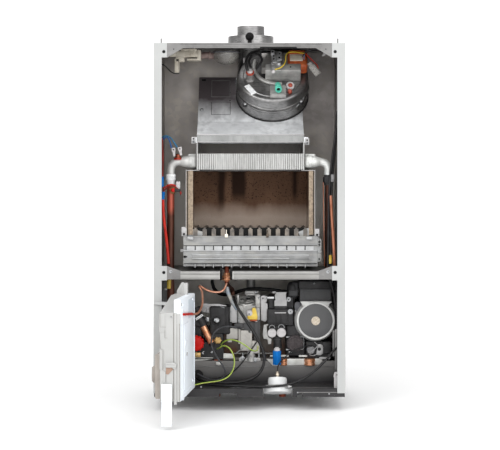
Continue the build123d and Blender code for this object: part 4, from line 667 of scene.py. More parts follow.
nodeFinishes = {"powderCoatWhite": "left_side_panel right_side_panel", "galvanisedDull": "hydraulic_bracket",
    "chamberZinc": "sealed_chamber", "wallZinc": "back_panel", "galvanisedShade": "top_panel cross_rail",
    "galvanisedBright": "fan_impeller chamber_frame", "hoodZinc": "flue_hood", "trayEnamel": "bottom_tray",
    "vesselRed": "expansion_vessel", "castAluminium": "fan_motor_frame gas_valve_body",
    "spunAluminium": "fan_housing fan_cover flue_outlet", "laminatedSteel": "fan_motor",
    "tealNylon": "pressure_nozzles", "creamNylon": "pressure_switch", "finAluminium": "heat_exchanger_fins",
    "silverPaint": "heat_exchanger_tubes", "ceramicFibreBoard": "insulation_boards",
    "heatTintedSteel": "burner_blades", "aluminisedSteel": "burner_front", "glazedCeramic": "electrodes",
    "turnedBrass": "pipe_sensors pump_rotor", "agedCopper": "flow_pipe",
    "drawnCopper": "gas_pipe pipe_tails capillary capillary_sleeve", "smokedCopperAndShade": "return_pipe",
    "nylonBlack": "flow_manifold return_manifold filter_cap diverter_motor gas_valve_coil",
    "brazedPlates": "plate_heat_exchanger", "castIronPaintAndShade": "pump_volute pump_motor",
    "nickelPlate": "pump_vent_screw", "redNylon": "safety_valve_knob gauge_pointer",
    "blueNylon": "filling_tap", "whiteAcetal": "pressure_gauge",
    "absBeige": "box_fascia heating_knob water_knob reset_button",
    "absWhite": "control_box_shell control_box_cover bay_flap", "boardGreen": "circuit_board",
    "sheathBlack": "harness_cable box_lead earth_wires valve_lead gauge_pipe"}
for finish, names in nodeFinishes.items():
    for name in names.split():
        nodes[name].data.materials.clear()
        nodes[name].data.materials.append(mats[finish])
print("packed nodes finished")


# fan: a spun drum that leans back, so its pieces are drawn in its own plane and then laid on it

fanPlane = {"origin": (50, -187.1, 304.65), "xDir": (1, 0, 0), "zDir": (0, -0.743, 0.669)}


def onFan(*shapes):
    return [placed(shape, **fanPlane) for shape in shapes]


fanSettings = {"radius": 77.5, "seam": -31, "edge": 6.5, "gasket": 79.4, "wellCentre": (12, 22),
    "wellRadius": 50, "boss": (-49, -13), "bolts": ((-59.6, -78.5), (60.2, -70.5)),
    "labelCentre": (-48, -43)}


def addFan(s):
    r, e = s["radius"], s["edge"]
    bend = np.linspace(0, np.pi / 2, 7)
    lip = np.column_stack([r - e + e * np.cos(bend), -e + e * np.sin(bend)])
    face = [[0.5, -12], [72, -12], [75.5, s["seam"] + 0.5], [r, s["seam"] + 0.5], *lip, [66, -0.9],
        [64, -0.9], [62.5, 0], [0.5, 0]]
    # the face's darkening towards the top is painted shade
    piece("fanFace", "fanFaceAluminium", onFan(lathe(face, 96)), replaces="fan_cover", angle=30)
    piece("fanGaskets", "nylonBlack", onFan(lathe([[r - 1, s["seam"] - 2.2], [s["gasket"], s["seam"] - 2.2],
        [s["gasket"], s["seam"] - 0.4], [r - 1, s["seam"] - 0.4]], 96),
        lathe([[r - 2, -63.2], [s["gasket"] + 0.4, -63.2], [s["gasket"] + 0.4, -60.2], [r - 2, -60.2]], 96)))
    piece("fanBandBeads", "spunAluminium",
        onFan(*[lathe([[r, z], [r + 0.9, z + 0.6], [r + 0.9, z + 1.8], [r, z + 2.4]], 96)
        for z in (-27, -40)]))
    cx, cy = s["wellCentre"]
    # the motor's well is a dark disc of painted shade, ringed by a cast bead
    well = slab(circle(cx, cy, s["wellRadius"], 64), 0.7)
    turn = np.radians(np.linspace(158, 278, 40))
    rim = np.column_stack([cx + 52.5 * np.cos(turn), cy + 3 + 52.5 * np.sin(turn), np.full(40, 2.4)])
    keep = np.hypot(rim[:, 0], rim[:, 1]) < r - 3
    piece("fanMotorWell", "wellShadeAluminium", onFan(well))
    piece("fanWellRim", "castAluminium", onFan(tube(rim[keep], 5, 16, 0.7)))
    # clips round the seam: a folded tab with a screw, and a sprung wire
    tabs, screws, slots = [], [], []
    for x, y, z in ((-60, -49.5, -37), (59, -50.5, -31), (-77.4, 13, -28), (72, 28, -30)):
        out = unit((x, y, 0))
        side = np.cross((0, 0, 1), out)
        base = np.array((x, y, z))
        tabs.append(placed(slab(np.array([(-7, -4.5), (7, -4.5), (7, 4.5), (-7, 4.5)]), 1.6),
            base + out * 0.2, side, out))
        head, cross = screwHead(base + out * 1.8, out, 3.6, 2.4)
        screws += head
        slots.append(cross)
    wire = tube(curved("44 -65 -38, 52 -60.2 -33, 62 -52.5 -26, 67 -45 -22"), 0.9, 8)
    piece("fanClipTabs", "zincPlate", onFan(*tabs))
    rings, bolts = [], []
    for x, y in s["bolts"]:
        rings.append(lathe("4.9 -14, 4.9 -8.4, 3.2 -8", 28, (x, y, 0)))
        bolts.append(lathe("3.1 -10, 3.1 -7, 2.4 -6.2, 0.3 -6", 24, (x, y, 0)))
    piece("fanRimWashers", "nylonBlack", onFan(*rings))
    piece("fanRimBolts", "stainlessBolt", onFan(*bolts))
    piece("fanClipScrews", "castIronPaintAndShade", onFan(*screws))
    piece("fanClipSlots", "shadowBlack", onFan(*slots))
    piece("fanClipWire", "zincPlate", onFan(wire))
    piece("fanUpperTab", "whiteAcetal", onFan(block(-64, 46, -8, -54, 56, 1.2, 1)))
    piece("fanUpperHole", "shadowBlack", onFan(lathe("2.2 1.1, 2.2 1.4", 20, (-58.5, 51, 0))))
    # bare label place: plain white film
    lx, ly = s["labelCentre"]
    turn = math.radians(-58)
    long, wide = np.array((math.cos(turn), math.sin(turn))), np.array((-math.sin(turn), math.cos(turn)))
    corners = [np.array((lx, ly)) + a * 15.5 * long + b * 6.4 * wide
        for a, b in ((-1, -1), (1, -1), (1, 1), (-1, 1))]
    piece("fanLabelPlace", "whiteFilm", onFan(placed(slab(corners, 0.3, edge=0.1), (0, 0, 0.05))))


addFan(fanSettings)

motorSettings = {"frame": ((-16, -17, 4), (60, -3, 33)), "stack": ((-24, -3, 8), (36, 44, 26)),
    "coil": ((32, -2, 5), (75, 47, 32)), "core": ((37, 12, 10), (65, 32, 34))}


def addFanMotor(s):
    (ax, ay, az), (bx, by, bz) = s["frame"]
    # bearing bracket: a folded channel with a turned-over lip, two feet and a hole
    piece("fanMotorBracket", "castAluminium", onFan(block(ax, ay, az + 6, bx, ay + 3, bz, 1.2),
        block(ax, ay, bz - 3, bx, by + 6, bz, 1.4), block(ax, ay, 0, ax + 13, ay + 8, az + 8, 1.4),
        block(bx - 13, ay, 0, bx, ay + 8, az + 8, 1.4), block(ax + 11, ay + 0.6, -1, bx - 11, ay + 2.4,
        az + 7, 0.6), lathe([[10, bz - 2], [10, bz + 3.4], [8.6, bz + 4.6], [0.4, bz + 4.6]], 32,
        (10, -8, 0))), replaces="fan_motor_frame", angle=32)
    piece("fanMotorBracketHole", "shadowBlack",
        onFan(lathe([[1.9, bz + 0.02], [1.9, bz + 0.25]], 18, (38, -7.5, 0))))
    (ax, ay, az), (bx, by, bz) = s["stack"]
    sheets = [block(ax, ay, az + i * (bz - az) / 9 + 0.15, bx, by, az + (i + 1) * (bz - az) / 9 - 0.15, 0.4,
        1) for i in range(9)]
    legs = [lathe("4 0, 4 9", 20, place) for place in ((-18, 14, 0), (30, 14, 0), (4, 38, 0))]
    piece("fanMotorStack", "laminatedSteel", onFan(*sheets, *legs), replaces="fan_motor")
    low, high = s["coil"]
    piece("fanMotorCoil", "windingTape",
        onFan(block(*low, *high, 6.5, 4), block(low[0] + 2, high[1] - 16, high[2] - 6, high[0] - 4,
        high[1] - 1, high[2] + 3, 5, 3)))
    low, high = s["core"]
    piece("fanMotorCore", "creamNylon",
        onFan(block(*low, *high, 1.2), block(low[0] - 3, low[1] - 2.5, high[2] - 8, high[0] + 2.5,
        high[1] + 2.5, high[2] - 4, 1)))
    # silver cooling plate with its terminals, and the white end of the bearing oiler
    piece("fanTerminalPlate", "stainlessBolt",
        onFan(*blocks("-3 -22 34 17 38 37 1.2, -1 -2 36 9 22 42 2.2, 8 8 36 20 33 40.5 1.6, "
        "-4 24 36 4 36 43 1.6"), lathe("5 36, 5 41, 3.4 43.4, 0.3 43.8", 24, (13, -4, 0)),
        lathe("4 37, 4 40, 0.3 41", 24, (2, -14, 0))), angle=30)
    piece("fanOiler", "whiteAcetal", onFan(lathe("4.4 0, 4.4 7, 3.2 9, 0.3 9.6", 24, (1, -21, 33),
        (0, -0.8, 0.6))))
    piece("fanTerminalGaps", "shadowBlack",
        onFan(*[lathe("2.2 0, 2.2 0.3", 14, place)
        for place in ((2, 8, 42), (2, 17, 42), (14, 14, 40.5), (15, 26, 40.5), (0, 30, 43))]))


addFanMotor(motorSettings)

nozzleSettings = {"plate": ((-6, -70, 0), (28, -37, 8)), "tealFrom": (10.5, -40, 12.5),
    "tealTo": (11.8, -65, 20.5), "cap": (37, -33.5), "red": (36, -50)}


def addNozzles(s):
    low, high = s["plate"]
    piece("nozzlePlate", "castAluminium",
        onFan(block(*low, *high, 1.6), block(low[0] + 3, low[1] + 2, high[2] - 1, high[0] - 3, low[1] + 9,
        high[2] + 2, 1.2)), replaces="pressure_nozzles")
    a, b = np.array(s["tealFrom"], float), np.array(s["tealTo"], float)
    axis, length = unit(b - a), np.linalg.norm(b - a)
    profile = [[0.4, -2], [3.5, -1.6], [6, 0], [6.6, 2], [6.6, length - 9], [7.4, length - 8.4],
        [7.4, length - 7], [6.6, length - 6.4], [6.9, length - 0.8], [6.2, length], [4.9, length],
        [4.6, length - 0.8], [4.6, length - 8], [0.4, length - 8]]
    piece("tealNozzle", "tealNylon", onFan(lathe(profile, 40, a, axis)), angle=34)
    piece("tealNozzleBore", "shadowBlack",
        onFan(lathe([[4.5, length - 7.9], [4.5, length - 7.6]], 28, a, axis)))
    x, y = s["cap"]
    piece("clearNozzleCap", "whiteAcetal",
        onFan(lathe("9 0, 9 5, 8.2 6.6, 6.6 7, 6.2 5.4, 0.3 5.4", 36, (x, y, 0), (0.05, -0.35, 1))))
    heart = [lathe("4.6 5, 4.6 7.2, 3.4 8.4, 0.3 8.8", 28, (x, y, 0), (0.05, -0.35, 1))]
    x, y = s["red"]
    heart.append(lathe("4.8 0, 4.8 7, 3.8 9, 2.2 9.4, 2.2 13, 1.6 13.6, 0.3 13.6", 28, (x, y, 0),
        (0, -0.5, 0.87)))
    piece("redNozzles", "capRed", onFan(*heart))
    x, y = fanSettings["boss"]
    piece("hoseBoss", "oxidisedPlate", onFan(lathe("9.5 0, 9.5 3, 7.8 5, 7.5 20, 0.3 20", 32, (x, y, 0))))
    piece("hoseBossRing", "capRed", onFan(lathe("8.6 20, 9 21, 9 23, 8.2 24, 0.3 24", 32, (x, y, 0))))
    piece("hoseBossTop", "whiteAcetal", onFan(lathe("5.8 23.6, 5.8 27, 4.6 28.4, 0.3 28.4", 28, (x, y, 0))))


addNozzles(nozzleSettings)
print("fan dressed")

# leads and hoses at the fan, from terminal to terminal

fanLeads = {
    # name: finish, diameter, slot, length, stiffness, route, and the CAD node that it stands for if any
    "fanHoseLong": ("sheathBlack", 6.4, "black_cable", 73, "medium",
        "-3.8 -223 312.5, -7 -222 323, -8 -216 335, -3 -206 347, 7 -196 355, 20 -186 359.5"),
    "fanHoseLoop": ("sheathBlack", 5, "black_cable", 90, "medium",
        "14 -218 317, 23 -214 327, 28 -208 338, 22 -202 349, 10 -197 352, 1 -199 342, -2 -206 330, "
        "3 -210 321"),
    "fanYellowLead": ("sheathYellow", 2.2, "earth_cable", 99, "limp",
        "54 -228 315, 65 -231 317, 74 -229 325, 78 -222 336, 77 -215 346, 84 -208 354, 98 -203 354.5, "
        "112 -199 352.5, 121 -197 352"),
    "fanSupplyBundle": ("sheathBlack", 4.2, "black_cable", 58, "medium",
        "116 -190 352, 126 -196 357, 139 -205 359.5, 153 -216 358.5, 160 -226 356"),
    "fanBlueLead": ("sheathSky", 2, "grey_cable", 36, "limp",
        "120 -193 353, 117 -196 345, 118 -200 336, 123 -203 329, 131 -205 325"),
    "fanBlackLead": ("sheathBlack", 2.4, "black_cable", 64.4, "limp",
        "114 -206 345, 120 -218 352, 128 -230 356.6, 139 -238 358, 150 -242 356, 156 -246 350"),
    "fanRedLead": ("sheathRed", 2, "grey_cable", 46, "limp",
        "121 -193 352, 131 -198 341, 141 -203 331, 147 -206 324, 148 -207 318"),
}
layCords(fanLeads)


# exchanger headers: cast end boxes, a tapering neck, a swept elbow and its collar

headerSettings = {"boxFar": -111.7, "rows": (-229, -193.3, -157.7, -122), "tubeZ": 118, "riserX": 168,
    "riserY": -229, "endX": 115.8}


def addHeaders(s):
    z, y = s["tubeZ"], s["riserY"]
    for side, near in ((-1, -s["boxFar"]), (1, s["endX"])):
        name = "leftHeader" if side < 0 else "rightHeader"
        span = (side * near, side * (near + 21))
        box = block(min(span), -239, z - 13.4, max(span), -113, z + 13.4, 6.5, 4)
        seam = lathe("12.6 0, 13.9 0.8, 13.9 2.4, 12.6 3.2", 40, (side * (near + 15), y, z), (side, 0, 0))
        # neck and elbow as one swept tube whose radius shrinks along its way
        start = np.array((side * (near + 10), y, z))
        line = cornered([start, (side * s["riserX"], y, z), (side * s["riserX"], y, 79)], 21, 14)
        line = curved(line, 2)
        away = np.linalg.norm(np.diff(line, axis=0), axis=1).cumsum()
        away = np.concatenate([[0], away])
        radius = np.interp(away, [0, 8, 15, 26, 200], [13, 13.2, 12.4, 8.6, 7.6])
        flow = tube(line, radius, 28)
        collar = lathe("7 70, 8.6 70, 8.6 78, 10.6 79, 10.6 84.6, 9.4 85.4, 10.8 86.2, 10.8 90, 9.8 91.4, "
            "7 92", 36, (side * s["riserX"], y, 0))
        tubes = [tube([(side * (near - 4), row, z), (side * (near + 8), row, z)], 8, 24)
            for row in s["rows"]]
        ribs = [block(min(span) + 2, row - 2, z + 10, max(span) - 2, row + 2, z + 15.5, 1.4)
            for row in s["rows"][1:]]
        lid = block(min(span) + 1, -232, z + 11, max(span) + 5 * side * (side > 0) - 1, -206, z + 17, 3, 3)
        piece(name, "silverPaint" if side < 0 else "silverBright", [box, seam, flow, *tubes, *ribs, lid],
            replaces="heat_exchanger_tubes" if side < 0 else "", angle=40)
        if side < 0:
            piece("leftCollar", "whiteFilm", [collar])
        else:
            nut = lathe("7 72, 10.5 72, 11.6 74, 11.6 84, 10.5 86, 7 86", 8, (s["riserX"], y, 0))
            piece("rightUnionNut", "nylonBlack",
                [nut, lathe("7 68, 8.8 68, 8.8 90, 7 90", 32, (s["riserX"], y, 0))], angle=25)


addHeaders(headerSettings)

sensorSettings = {"thermostat": (-152.5, -232, 126.5), "clip": (-163, -240.5, 57.5)}


def addSensors(s):
    x, y, z = s["thermostat"]
    # surface thermostat: a flange on the elbow, a copper can, two spades with their white sleeves
    piece("thermostatCan", "drawnCopper",
        [lathe("8.4 -2, 8.4 0, 6.2 0.8, 6 6.5, 4.6 8, 0.3 8.2", 32, (x, y, z))], replaces="pipe_sensors")
    band = [lathe("9 -3.6, 9 -2.1, 0.3 -2.1", 32, (x, y, z))]
    sleeves, eyes = [], []
    for dx, lean, lift in ((-7.5, -0.12, 3), (7, -0.18, 5)):
        foot = np.array((x + dx, y - 4, z + lift))
        axis = unit((lean, 0, 1))
        outline = [(-2.4, 0), (2.4, 0), (2.8, 8), (4.2, 12), (4.2, 18), (-4.2, 18), (-4.2, 12), (-2.8, 8)]
        sleeves.append(placed(slab(outline, 3.2, edge=0.8), foot, np.cross(axis, (0, -1, 0)), (0, -1, 0)))
        eyes.append(boss("1.5 3.1, 1.5 3.4", 16, foot + axis * 14))
    piece("thermostatBand", "redNylon", band)
    piece("thermostatSleeves", "whiteAcetal", sleeves)
    piece("thermostatSleeveEyes", "shadowBlack", eyes)
    x, y, z = s["clip"]
    # pipe sensor: a brass hexagon clipped to the flow pipe with a red collar and a black plug
    piece("pipeSensorHex", "brownedBrass", [hexShape((x, y + 4, z), (0, -1, 0), 14.5, 5, 1),
        boss("9.2 0, 9.2 2.5", 28, (x - 4, y + 10, z + 4))], angle=25)
    piece("pipeSensorCollar", "redNylon",
        [lathe("4.6 0, 4.6 6, 3.6 7.4, 0.3 7.4", 24, (x, y - 1, z), (0.25, -1, 0))])
    piece("pipeSensorPlug", "nylonBlack", [block(x + 3, y - 8, z - 3.4, x + 17, y - 2, z + 2.6, 1.6)])
    piece("looseConnector", "whiteAcetal",
        blocks("-156 -246 60 -147 -239 76 1.6, -154.5 -245 55 -149 -240 61 1"))


addSensors(sensorSettings)

# pressure switch: stepped cream bracket, a stub and a clear dome under the roof
switchSettings = {"dome": (-51, -180, 352), "radius": 28.6, "drop": 23.5}


def addPressureSwitch(s):
    piece("switchBracket", "creamNylon",
        [*blocks("-158.5 -205 343 -107.5 -168 356 1.2, -112.7 -207 338 -104.5 -166 358.5 1.4, "
        "-134.6 -207 336.4 -104.5 -172 340.2 0.9, -158.5 -206 333.6 -140 -184 344 1, "
        "-161 -206 309.5 -151.2 -202 340 0.9, -148 -204 356 -113 -172 361.5 0.9, "
        "-172.5 -205 344 -156 -202.4 358 0.9, -153.5 -206 314 -151 -186 336 0.7, "
        "-130 -206 352 -127 -203 362 0.6, -120 -206 352 -117 -203 362 0.6"),
        boss("3.2 0, 3.2 2.4, 2.4 3.2, 0.3 3.2", 20, (-124, -205, 348.5)),],
        replaces="pressure_switch", angle=30)
    x, y, z = s["dome"]
    r = s["radius"]
    a = np.radians(np.linspace(-89, 0, 20))
    profile = np.column_stack([r * np.cos(a), s["drop"] * np.sin(a)]).tolist()
    dome = lathe([*profile, [r, 4], [r * 0.9, 7], [0.3, 7.6]], 56, (x, y, z))
    piece("switchDome", "clearPolycarbonate", [dome])
    piece("switchDiaphragm", "absGrey", [lathe("0.4 -6, 9 -5, 15 -1, 15 1, 0.4 2", 36, (x, y, z)),
        lathe([[r - 0.6, 1.2], [r + 1.3, 1.6], [r + 1.3, 4.2], [r - 0.8, 4.6]], 48, (x, y, z))])
    piece("switchStub", "smokedNylon", [tube(curved("-105 -185 348, -92 -184 349, -78 -182 348"), 7, 24),
        lathe("9 0, 9 3, 7 4", 28, (-88, -184, 348.5), (1, 0, 0)),
        lathe("8.4 0, 8.4 2.4, 7 3.2", 28, (-80, -183, 348.5), (1, 0, 0))])


addPressureSwitch(switchSettings)
print("headers and sensors added")

# hood: pressed windows, tabs, screws and its folded front edge

hoodPlane = {"origin": (0, -193, 205), "xDir": (1, 0, 0), "zDir": (0, -0.7424, 0.6699)}


def addHoodDetail():
    def onHood(shape):
        return placed(shape, **hoodPlane)

    frames = []
    for x0, y0, x1, y1 in ((-83.3, 76, -42.8, 127), (-82.9, 21.3, -41.9, 59.4)):
        for a, b in (((x0, y0), (x1, y0)), ((x1, y0), (x1, y1)), ((x1, y1), (x0, y1)), ((x0, y1), (x0, y0))):
            low, high = np.minimum(a, b) - 0.5, np.maximum(a, b) + 0.5
            frames.append(onHood(block(low[0], low[1], -0.2, high[0], high[1], 0.45, 0.25, 1)))
    piece("hoodPressedWindows", "galvanisedShade", frames[:4])
    # the lower window's outline in the charcoal finish is painted shade in its folds
    piece("hoodPressedWindowLow", "castIronPaintAndShade", frames[4:])
    piece("hoodPiercings", "shadowBlack", [onHood(block(-105.5, 125.6, 0.02, -97, 131.5, 0.3, 0.1, 1)),
        onHood(lathe("1.5 0.02, 1.5 0.25", 16, (-42.6, 89, 0))),
        onHood(lathe("1.5 0.02, 1.5 0.25", 16, (-42.6, 64, 0)))])
    heads, crosses = [], []
    for x, y in ((-103.8, 35.3),):
        head, cross = screwHead((x, y, 0), (0.25, 0.3, 1), 3.6, 3, 4.6)
        heads += [onHood(h) for h in head]
        crosses.append(onHood(cross))
    lip = blocks("-112.2 -243.9 173.4 115.9 -242.7 176.4 0.5, -112.2 -243.7 158.4 115.9 -242.8 160.6 0.4")
    # the folded front band is darker than the slope above as painted shade
    piece("hoodFrontBand", "hoodBandZinc", [block(-112.2, -243.5, 160.8, 115.9, -242.6, 173.2, 0.3, 1)])
    piece("hoodFoldedEdge", "galvanisedBright", lip)
    tabs, holes = [], []
    for x, z in ((-118.6, 163.5), (122.3, 160.5)):
        tabs.append(facing(np.array([(-4.4, -7), (4.4, -7), (4.4, 7), (-4.4, 7)]) + (x, z), 1.4, -246.4,
            edge=0.25))
        head, cross = screwHead((x, -246.4, z - 3.2), (0, -1, 0), 3, 2)
        heads += head
        crosses.append(cross)
        holes.append(boss("1.8 0.02, 1.8 0.3", 16, (x, -246.4, z + 3)))
    piece("hoodTabs", "galvanisedBright", tabs)
    piece("hoodTabHoles", "shadowBlack", holes)
    piece("hoodScrews", "zincPlate", heads)
    piece("hoodScrewSlots", "shadowBlack", crosses)
    piece("exchangerEndLips", "galvanisedShade", [block(side_x - 0.7, -252, 99, side_x + 0.7, -246, 158, 0.5)
        for side_x in (-112.4, 116.4)])


addHoodDetail()

# burner front: lips, slots, pressed rib, corner lugs and screws

burnerSettings = {"frontY": -253, "slotFirst": -134.2, "slotPitch": 19.37, "slotCount": 14, "gapTop": -22.2}


def addBurnerFront(s):
    y = s["frontY"]
    xs = s["slotFirst"] + s["slotPitch"] * np.arange(s["slotCount"])
    slots = [block(x - 0.7, y - 0.45, -68.6, x + 0.7, y + 0.1, -59, 0.15, 1) for x in xs]
    slots += [boss("1.9 0.02, 1.9 0.3", 16, (x, y - 0.2, -62.5)) for x in xs[4:12]]
    slots += [block(-139.6, y - 0.4, -60.6, 143.6, y + 0.1, -59.4, 0.1, 1),
        block(-138, y - 8.3, -98.4, 142, y - 7.6, -96.8, 0.15, 1)]
    slots.append(boss("2.9 0.02, 2.9 0.3", 20, (-137, y, -83.5)))
    piece("burnerSlots", "shadowBlack", slots)
    piece("burnerGaps", "shadowBlack", [block(-119.5, y + 9, -58, 123.5, y + 11, s["gapTop"], 0.3, 1)])
    # lighter folds and comb teeth: painted highlights on the pressed burner front
    bright = [block(-140, y - 1.9, -71.4, 144, y + 0.3, -68.9, 0.9),
        block(-121, y - 3.4, -81.2, 126, y + 0.2, -78.4, 1.3),
        block(-121, y - 3.6, -88.6, 84, y + 0.2, -86.2, 1.2)]
    bright += [block(a, y - 3.8, -47.6, a + 13.5, y + 0.2, -41, 1.8) for a in (-132, 120)]
    bright += [block(x + 1.3, y - 0.8, -69.4, x + 18.1, y + 0.2, -61, 0.3, 1) for x in xs]
    bright += [block(x - 0.8, y - 9.4, -106.2, x + 0.8, y - 7.7, -98.4, 0.3, 1) for x in xs[1:]]
    piece("burnerBrightFolds", "burnerFold", bright)
    bars = [block(-139, y - 1.5, -41.4, 143, y + 0.6, -39.2, 0.7),
        block(-121.6, y - 2.4, -89.4, 126.4, y + 0.2, -77.6, 1.4)]
    bars += [block(144, y - 1.2, -94, 150.4, y + 3, -63, 0.8), block(144, y - 2.4, -76, 152.4, y + 1, -71.2,
        0.8), block(144, y - 1, -63, 148, y + 2, -42, 0.8), block(-146.4, y - 1, -74, -139.4, y + 1, -67,
        0.8)]
    bars += [block(x + 3, y - 8.9, -102.8, x + 16.6, y - 7.6, -99, 0.5, 1) for x in xs[:-1]]
    piece("burnerRibs", "aluminisedSteel", bars)
    piece("burnerLugs", "galvanisedBright",
        [facing(np.array([(-5.5, -9.5), (5.5, -9.5), (5.5, 6), (2, 9.5), (-5.5, 9.5)]) + (-138.5, -30), 1.4,
        -251.6, edge=0.25), facing(np.array([(-4.5, -8), (4.5, -8), (4.5, 8), (-4.5, 8)]) + (143.3, -32),
        1.4, -251.6, edge=0.25)])
    corners = []
    for low, high in ((-131, -101), (126, 107)):  # bent corner plates behind the bars' ends
        outline = np.array([(low, -40.4), (high, -40.4), (high + (4 if low < 0 else -4), -31), (low, -22)])
        corners.append(facing(outline if low < 0 else outline[::-1], 1.2, -249.8, edge=0.25))
    piece("burnerCorners", "aluminisedSteel", corners)
    heads, crosses = screwHeads([((x, -252.2, z), (0, -1, 0), tip, 2.2)
        for x, z, tip in ((-138.8, -35.5, 2.4), (143, -37, 2.4), (147.5, -52, 3), (147.5, -58, 2.6),
        (147.5, -88, 3))])
    piece("burnerScrews", "castIronPaintAndShade", heads)
    piece("burnerScrewSlots", "shadowBlack", crosses)
    # spark electrode: a short ceramic block and its pin; the flame probe beside it is sooted
    for name, finish, x, half, replaced in (("sparkElectrode", "glazedCeramic", -49, 3.3, "electrodes"),
            ("flameProbe", "sootedCeramic", 38, 2.6, "")):
        piece(name, finish, [block(x - half, y - 5.2, -42.4, x + half, y + 1, -35, 0.9),
            tube([(x, y - 3, -36), (x, y - 3, -30), (x, y - 3, -26)], 0.9, 12)],
            replaces=replaced)


addBurnerFront(burnerSettings)
print("burner front detailed")

# leads along the chamber walls, each from its clip to its grommet

wallLeads = {
    # name: finish, diameter, slot, length, stiffness, route, and the CAD node that it stands for if any
    "thermostatLeadA": ("sheathTeal", 2.6, "grey_cable", 50, "limp",
        "-188.6 -236 166, -184 -238 172, -176 -240 173.6, -167 -240 169, -161 -240 160, -157 -240 154, "
        "-154 -237 149"),
    "thermostatLeadB": ("sheathBlue", 2.6, "grey_cable", 43.5, "limp",
        "-188.6 -232 160, -183 -234 168, -176 -236 171, -171 -237 166, -168 -237 156, -166 -238 147"),
    "ignitionLead": ("sheathDarkRed", 3.6, "black_cable", 126, "medium",
        "-185.6 -239 168, -184.2 -239 140, -184.2 -239 110, -184.8 -239 84, -184.6 -240 66, -181 -242 56, "
        "-184 -240 40"),
    "ignitionSleeve": ("sheathRed", 6.2, "red_plastic", 140, "medium",
        "-184 -240 40, -183.9 -239 20, -181.8 -239 -6, -177.5 -239 -40, -174 -238 -72, -172.3 -237 -99"),
    "sensorLeadRed": ("sheathRed", 2.4, "black_cable", 51.5, "limp",
        "-183.5 -241 60, -176 -243 67, -166 -244 70.5, -156 -244 67, -148 -243 59, -145 -242 50"),
    "sensorLeadDark": ("sheathDarkRed", 2.4, "black_cable", 52, "limp",
        "-183.5 -243 55, -175 -245 63, -163 -246 67, -153 -246 62, -147 -245 55, -146 -243 47"),
    "switchLead": ("sheathBlack", 2.4, "black_cable", 48, "limp",
        "-188.6 -214 328, -182 -214 325, -174 -214 316, -167 -214 309.5, -158 -213 306.4, -151 -210 308"),
    "wallCableA": ("sheathBlack", 5.4, "black_cable", 338, "medium",
        "188.6 -214 226, 185.6 -233 196, 181 -243 164, 175 -245 122, 170.5 -245.5 83, 168.4 -246 15, "
        "167 -246 -49, 166.2 -244 -104.2"),
    "wallCableB": ("sheathBlack", 4.6, "black_cable", 298.7, "medium",
        "188.4 -206 186, 184.4 -224 156, 179.6 -238 120, 175.8 -243 84, 173.4 -244 25.6, 171.8 -244 -38.3, "
        "171.4 -242 -104.3"),
    "wallCopperTube": ("tubeCopper", 6.6, "copper", 150, "stiff",
        "172.6 -247 46, 173 -249 26, 175.2 -251 -10, 177.6 -251.6 -48, 179.2 -251 -80, 180 -249 -104"),
    "wallCapillary": ("tubeCopper", 1.8, "copper", 178, "stiff",
        "156.8 -238 74, 157.6 -240 26, 158.3 -240 -27, 158.9 -239 -70, 159.4 -238 -104"),
}
layCords(wallLeads)
print("wall leads laid")


# lower works: pump, return side, gas valve, diverter motor and the fittings round them

pumpSettings = {"axis": (141.5, -222), "front": -224, "rim": 40.8, "disc": 36.3, "boxTop": -137,
    "boxSeam": -154}


def addPump(s):
    x, z = s["axis"]
    front = s["front"]
    back = (0, 1, 0)
    at = (x, front, z)
    # can: rolled rim, a waist, then the flange that meets the volute
    can = lathe([[s["disc"], 2.2], [s["disc"], 0.6], [s["disc"] + 0.6, 0], [s["rim"] - 0.8, 0],
        [s["rim"], 0.8], [s["rim"], 9], [43.2, 12], [45.6, 18], [46, 30], [46, 74], [42, 82], [41, 99.5],
        [2, 99.5]], 72, at, back)
    outline = [(27.3, 30.3), (29.2, 35.4), (34.2, 39.6), (34.2, 41.4), (-32.4, 41.4), (-32.4, 39.6),
        (-29.2, 35.4), (-27.3, 30.3), (-14, 38), (0, 40.4), (14, 38)]
    shoulder = facing(outline, 26, front + 0.2, x, z, edge=0.8)
    ribs = [block(x - 43.8, front + 22 + 13 * i, z + 8, x - 30, front + 25 + 13 * i, z + 32, 1.2)
        for i in range(3)]
    ears = [placed(slab(oblong(-6, -5, 6, 5, 4.5), 8, edge=1), (x + dx, front + 84, z + dz), (1, 0, 0),
        (0, -1, 0)) for dx, dz in ((-38, 24), (38, 24), (-38, -24), (38, -24))]
    piece("pumpCan", "silverPaint", [can, shoulder, *ribs, *ears], replaces="pump_motor", angle=30)
    # bare name disc: satin charcoal with one pressed ring
    disc = boss([[0.3, 3.1], [10.4, 3.1], [11.2, 2.5], [12.6, 2.5], [13.4, 3.1], [34.2, 3.1],
        [s["disc"], 2.3], [s["disc"], 3.6]], 72, (x, front + 5, z))
    piece("pumpDisc", "charcoalDisc", [disc])
    piece("pumpShoulderPocket", "absGrey",
        [facing(oblong(-7, -10, 7, 10, 5), 6, front + 13.5, x - 37.6, z + 29.5, edge=0.8)])
    piece("terminalBoxLid", "nylonBlack",
        [block(105.3, -214, s["boxSeam"], 176.8, -146, s["boxTop"], 2.6, 3),
        block(107, -213.2, s["boxSeam"] - 1.2, 175.6, -147, s["boxSeam"] + 1, 0.6)])
    piece("terminalBoxBase", "absCharcoal",
        [block(108, -212.6, -181.4, 175.5, -148, s["boxSeam"] - 0.8, 1.6, 3),
        *blocks("109.5 -213.6 -157 174 -211 -155.4 0.5, 110 -213.4 -180.6 174 -211 -178.8 0.5, "
        "170.5 -213.2 -179 173 -211 -157 0.5, 117 -213.2 -179 118.2 -211 -157 0.4")])
    head, cross = screwHead((138.8, -214, -142.6), (0, -1, 0), 1.9, 1.2)
    piece("terminalBoxScrew", "zincPlate", head)
    piece("terminalBoxScrewCross", "shadowBlack", [cross])


addPump(pumpSettings)
print("pump added")

returnSettings = {"caps": ((48.2, -248, 9.4), (68.2, -247.2, 9.8)), "filter": (97.7, -271),
    "tap": (58.7, -224), "plug": (131.7, -286)}


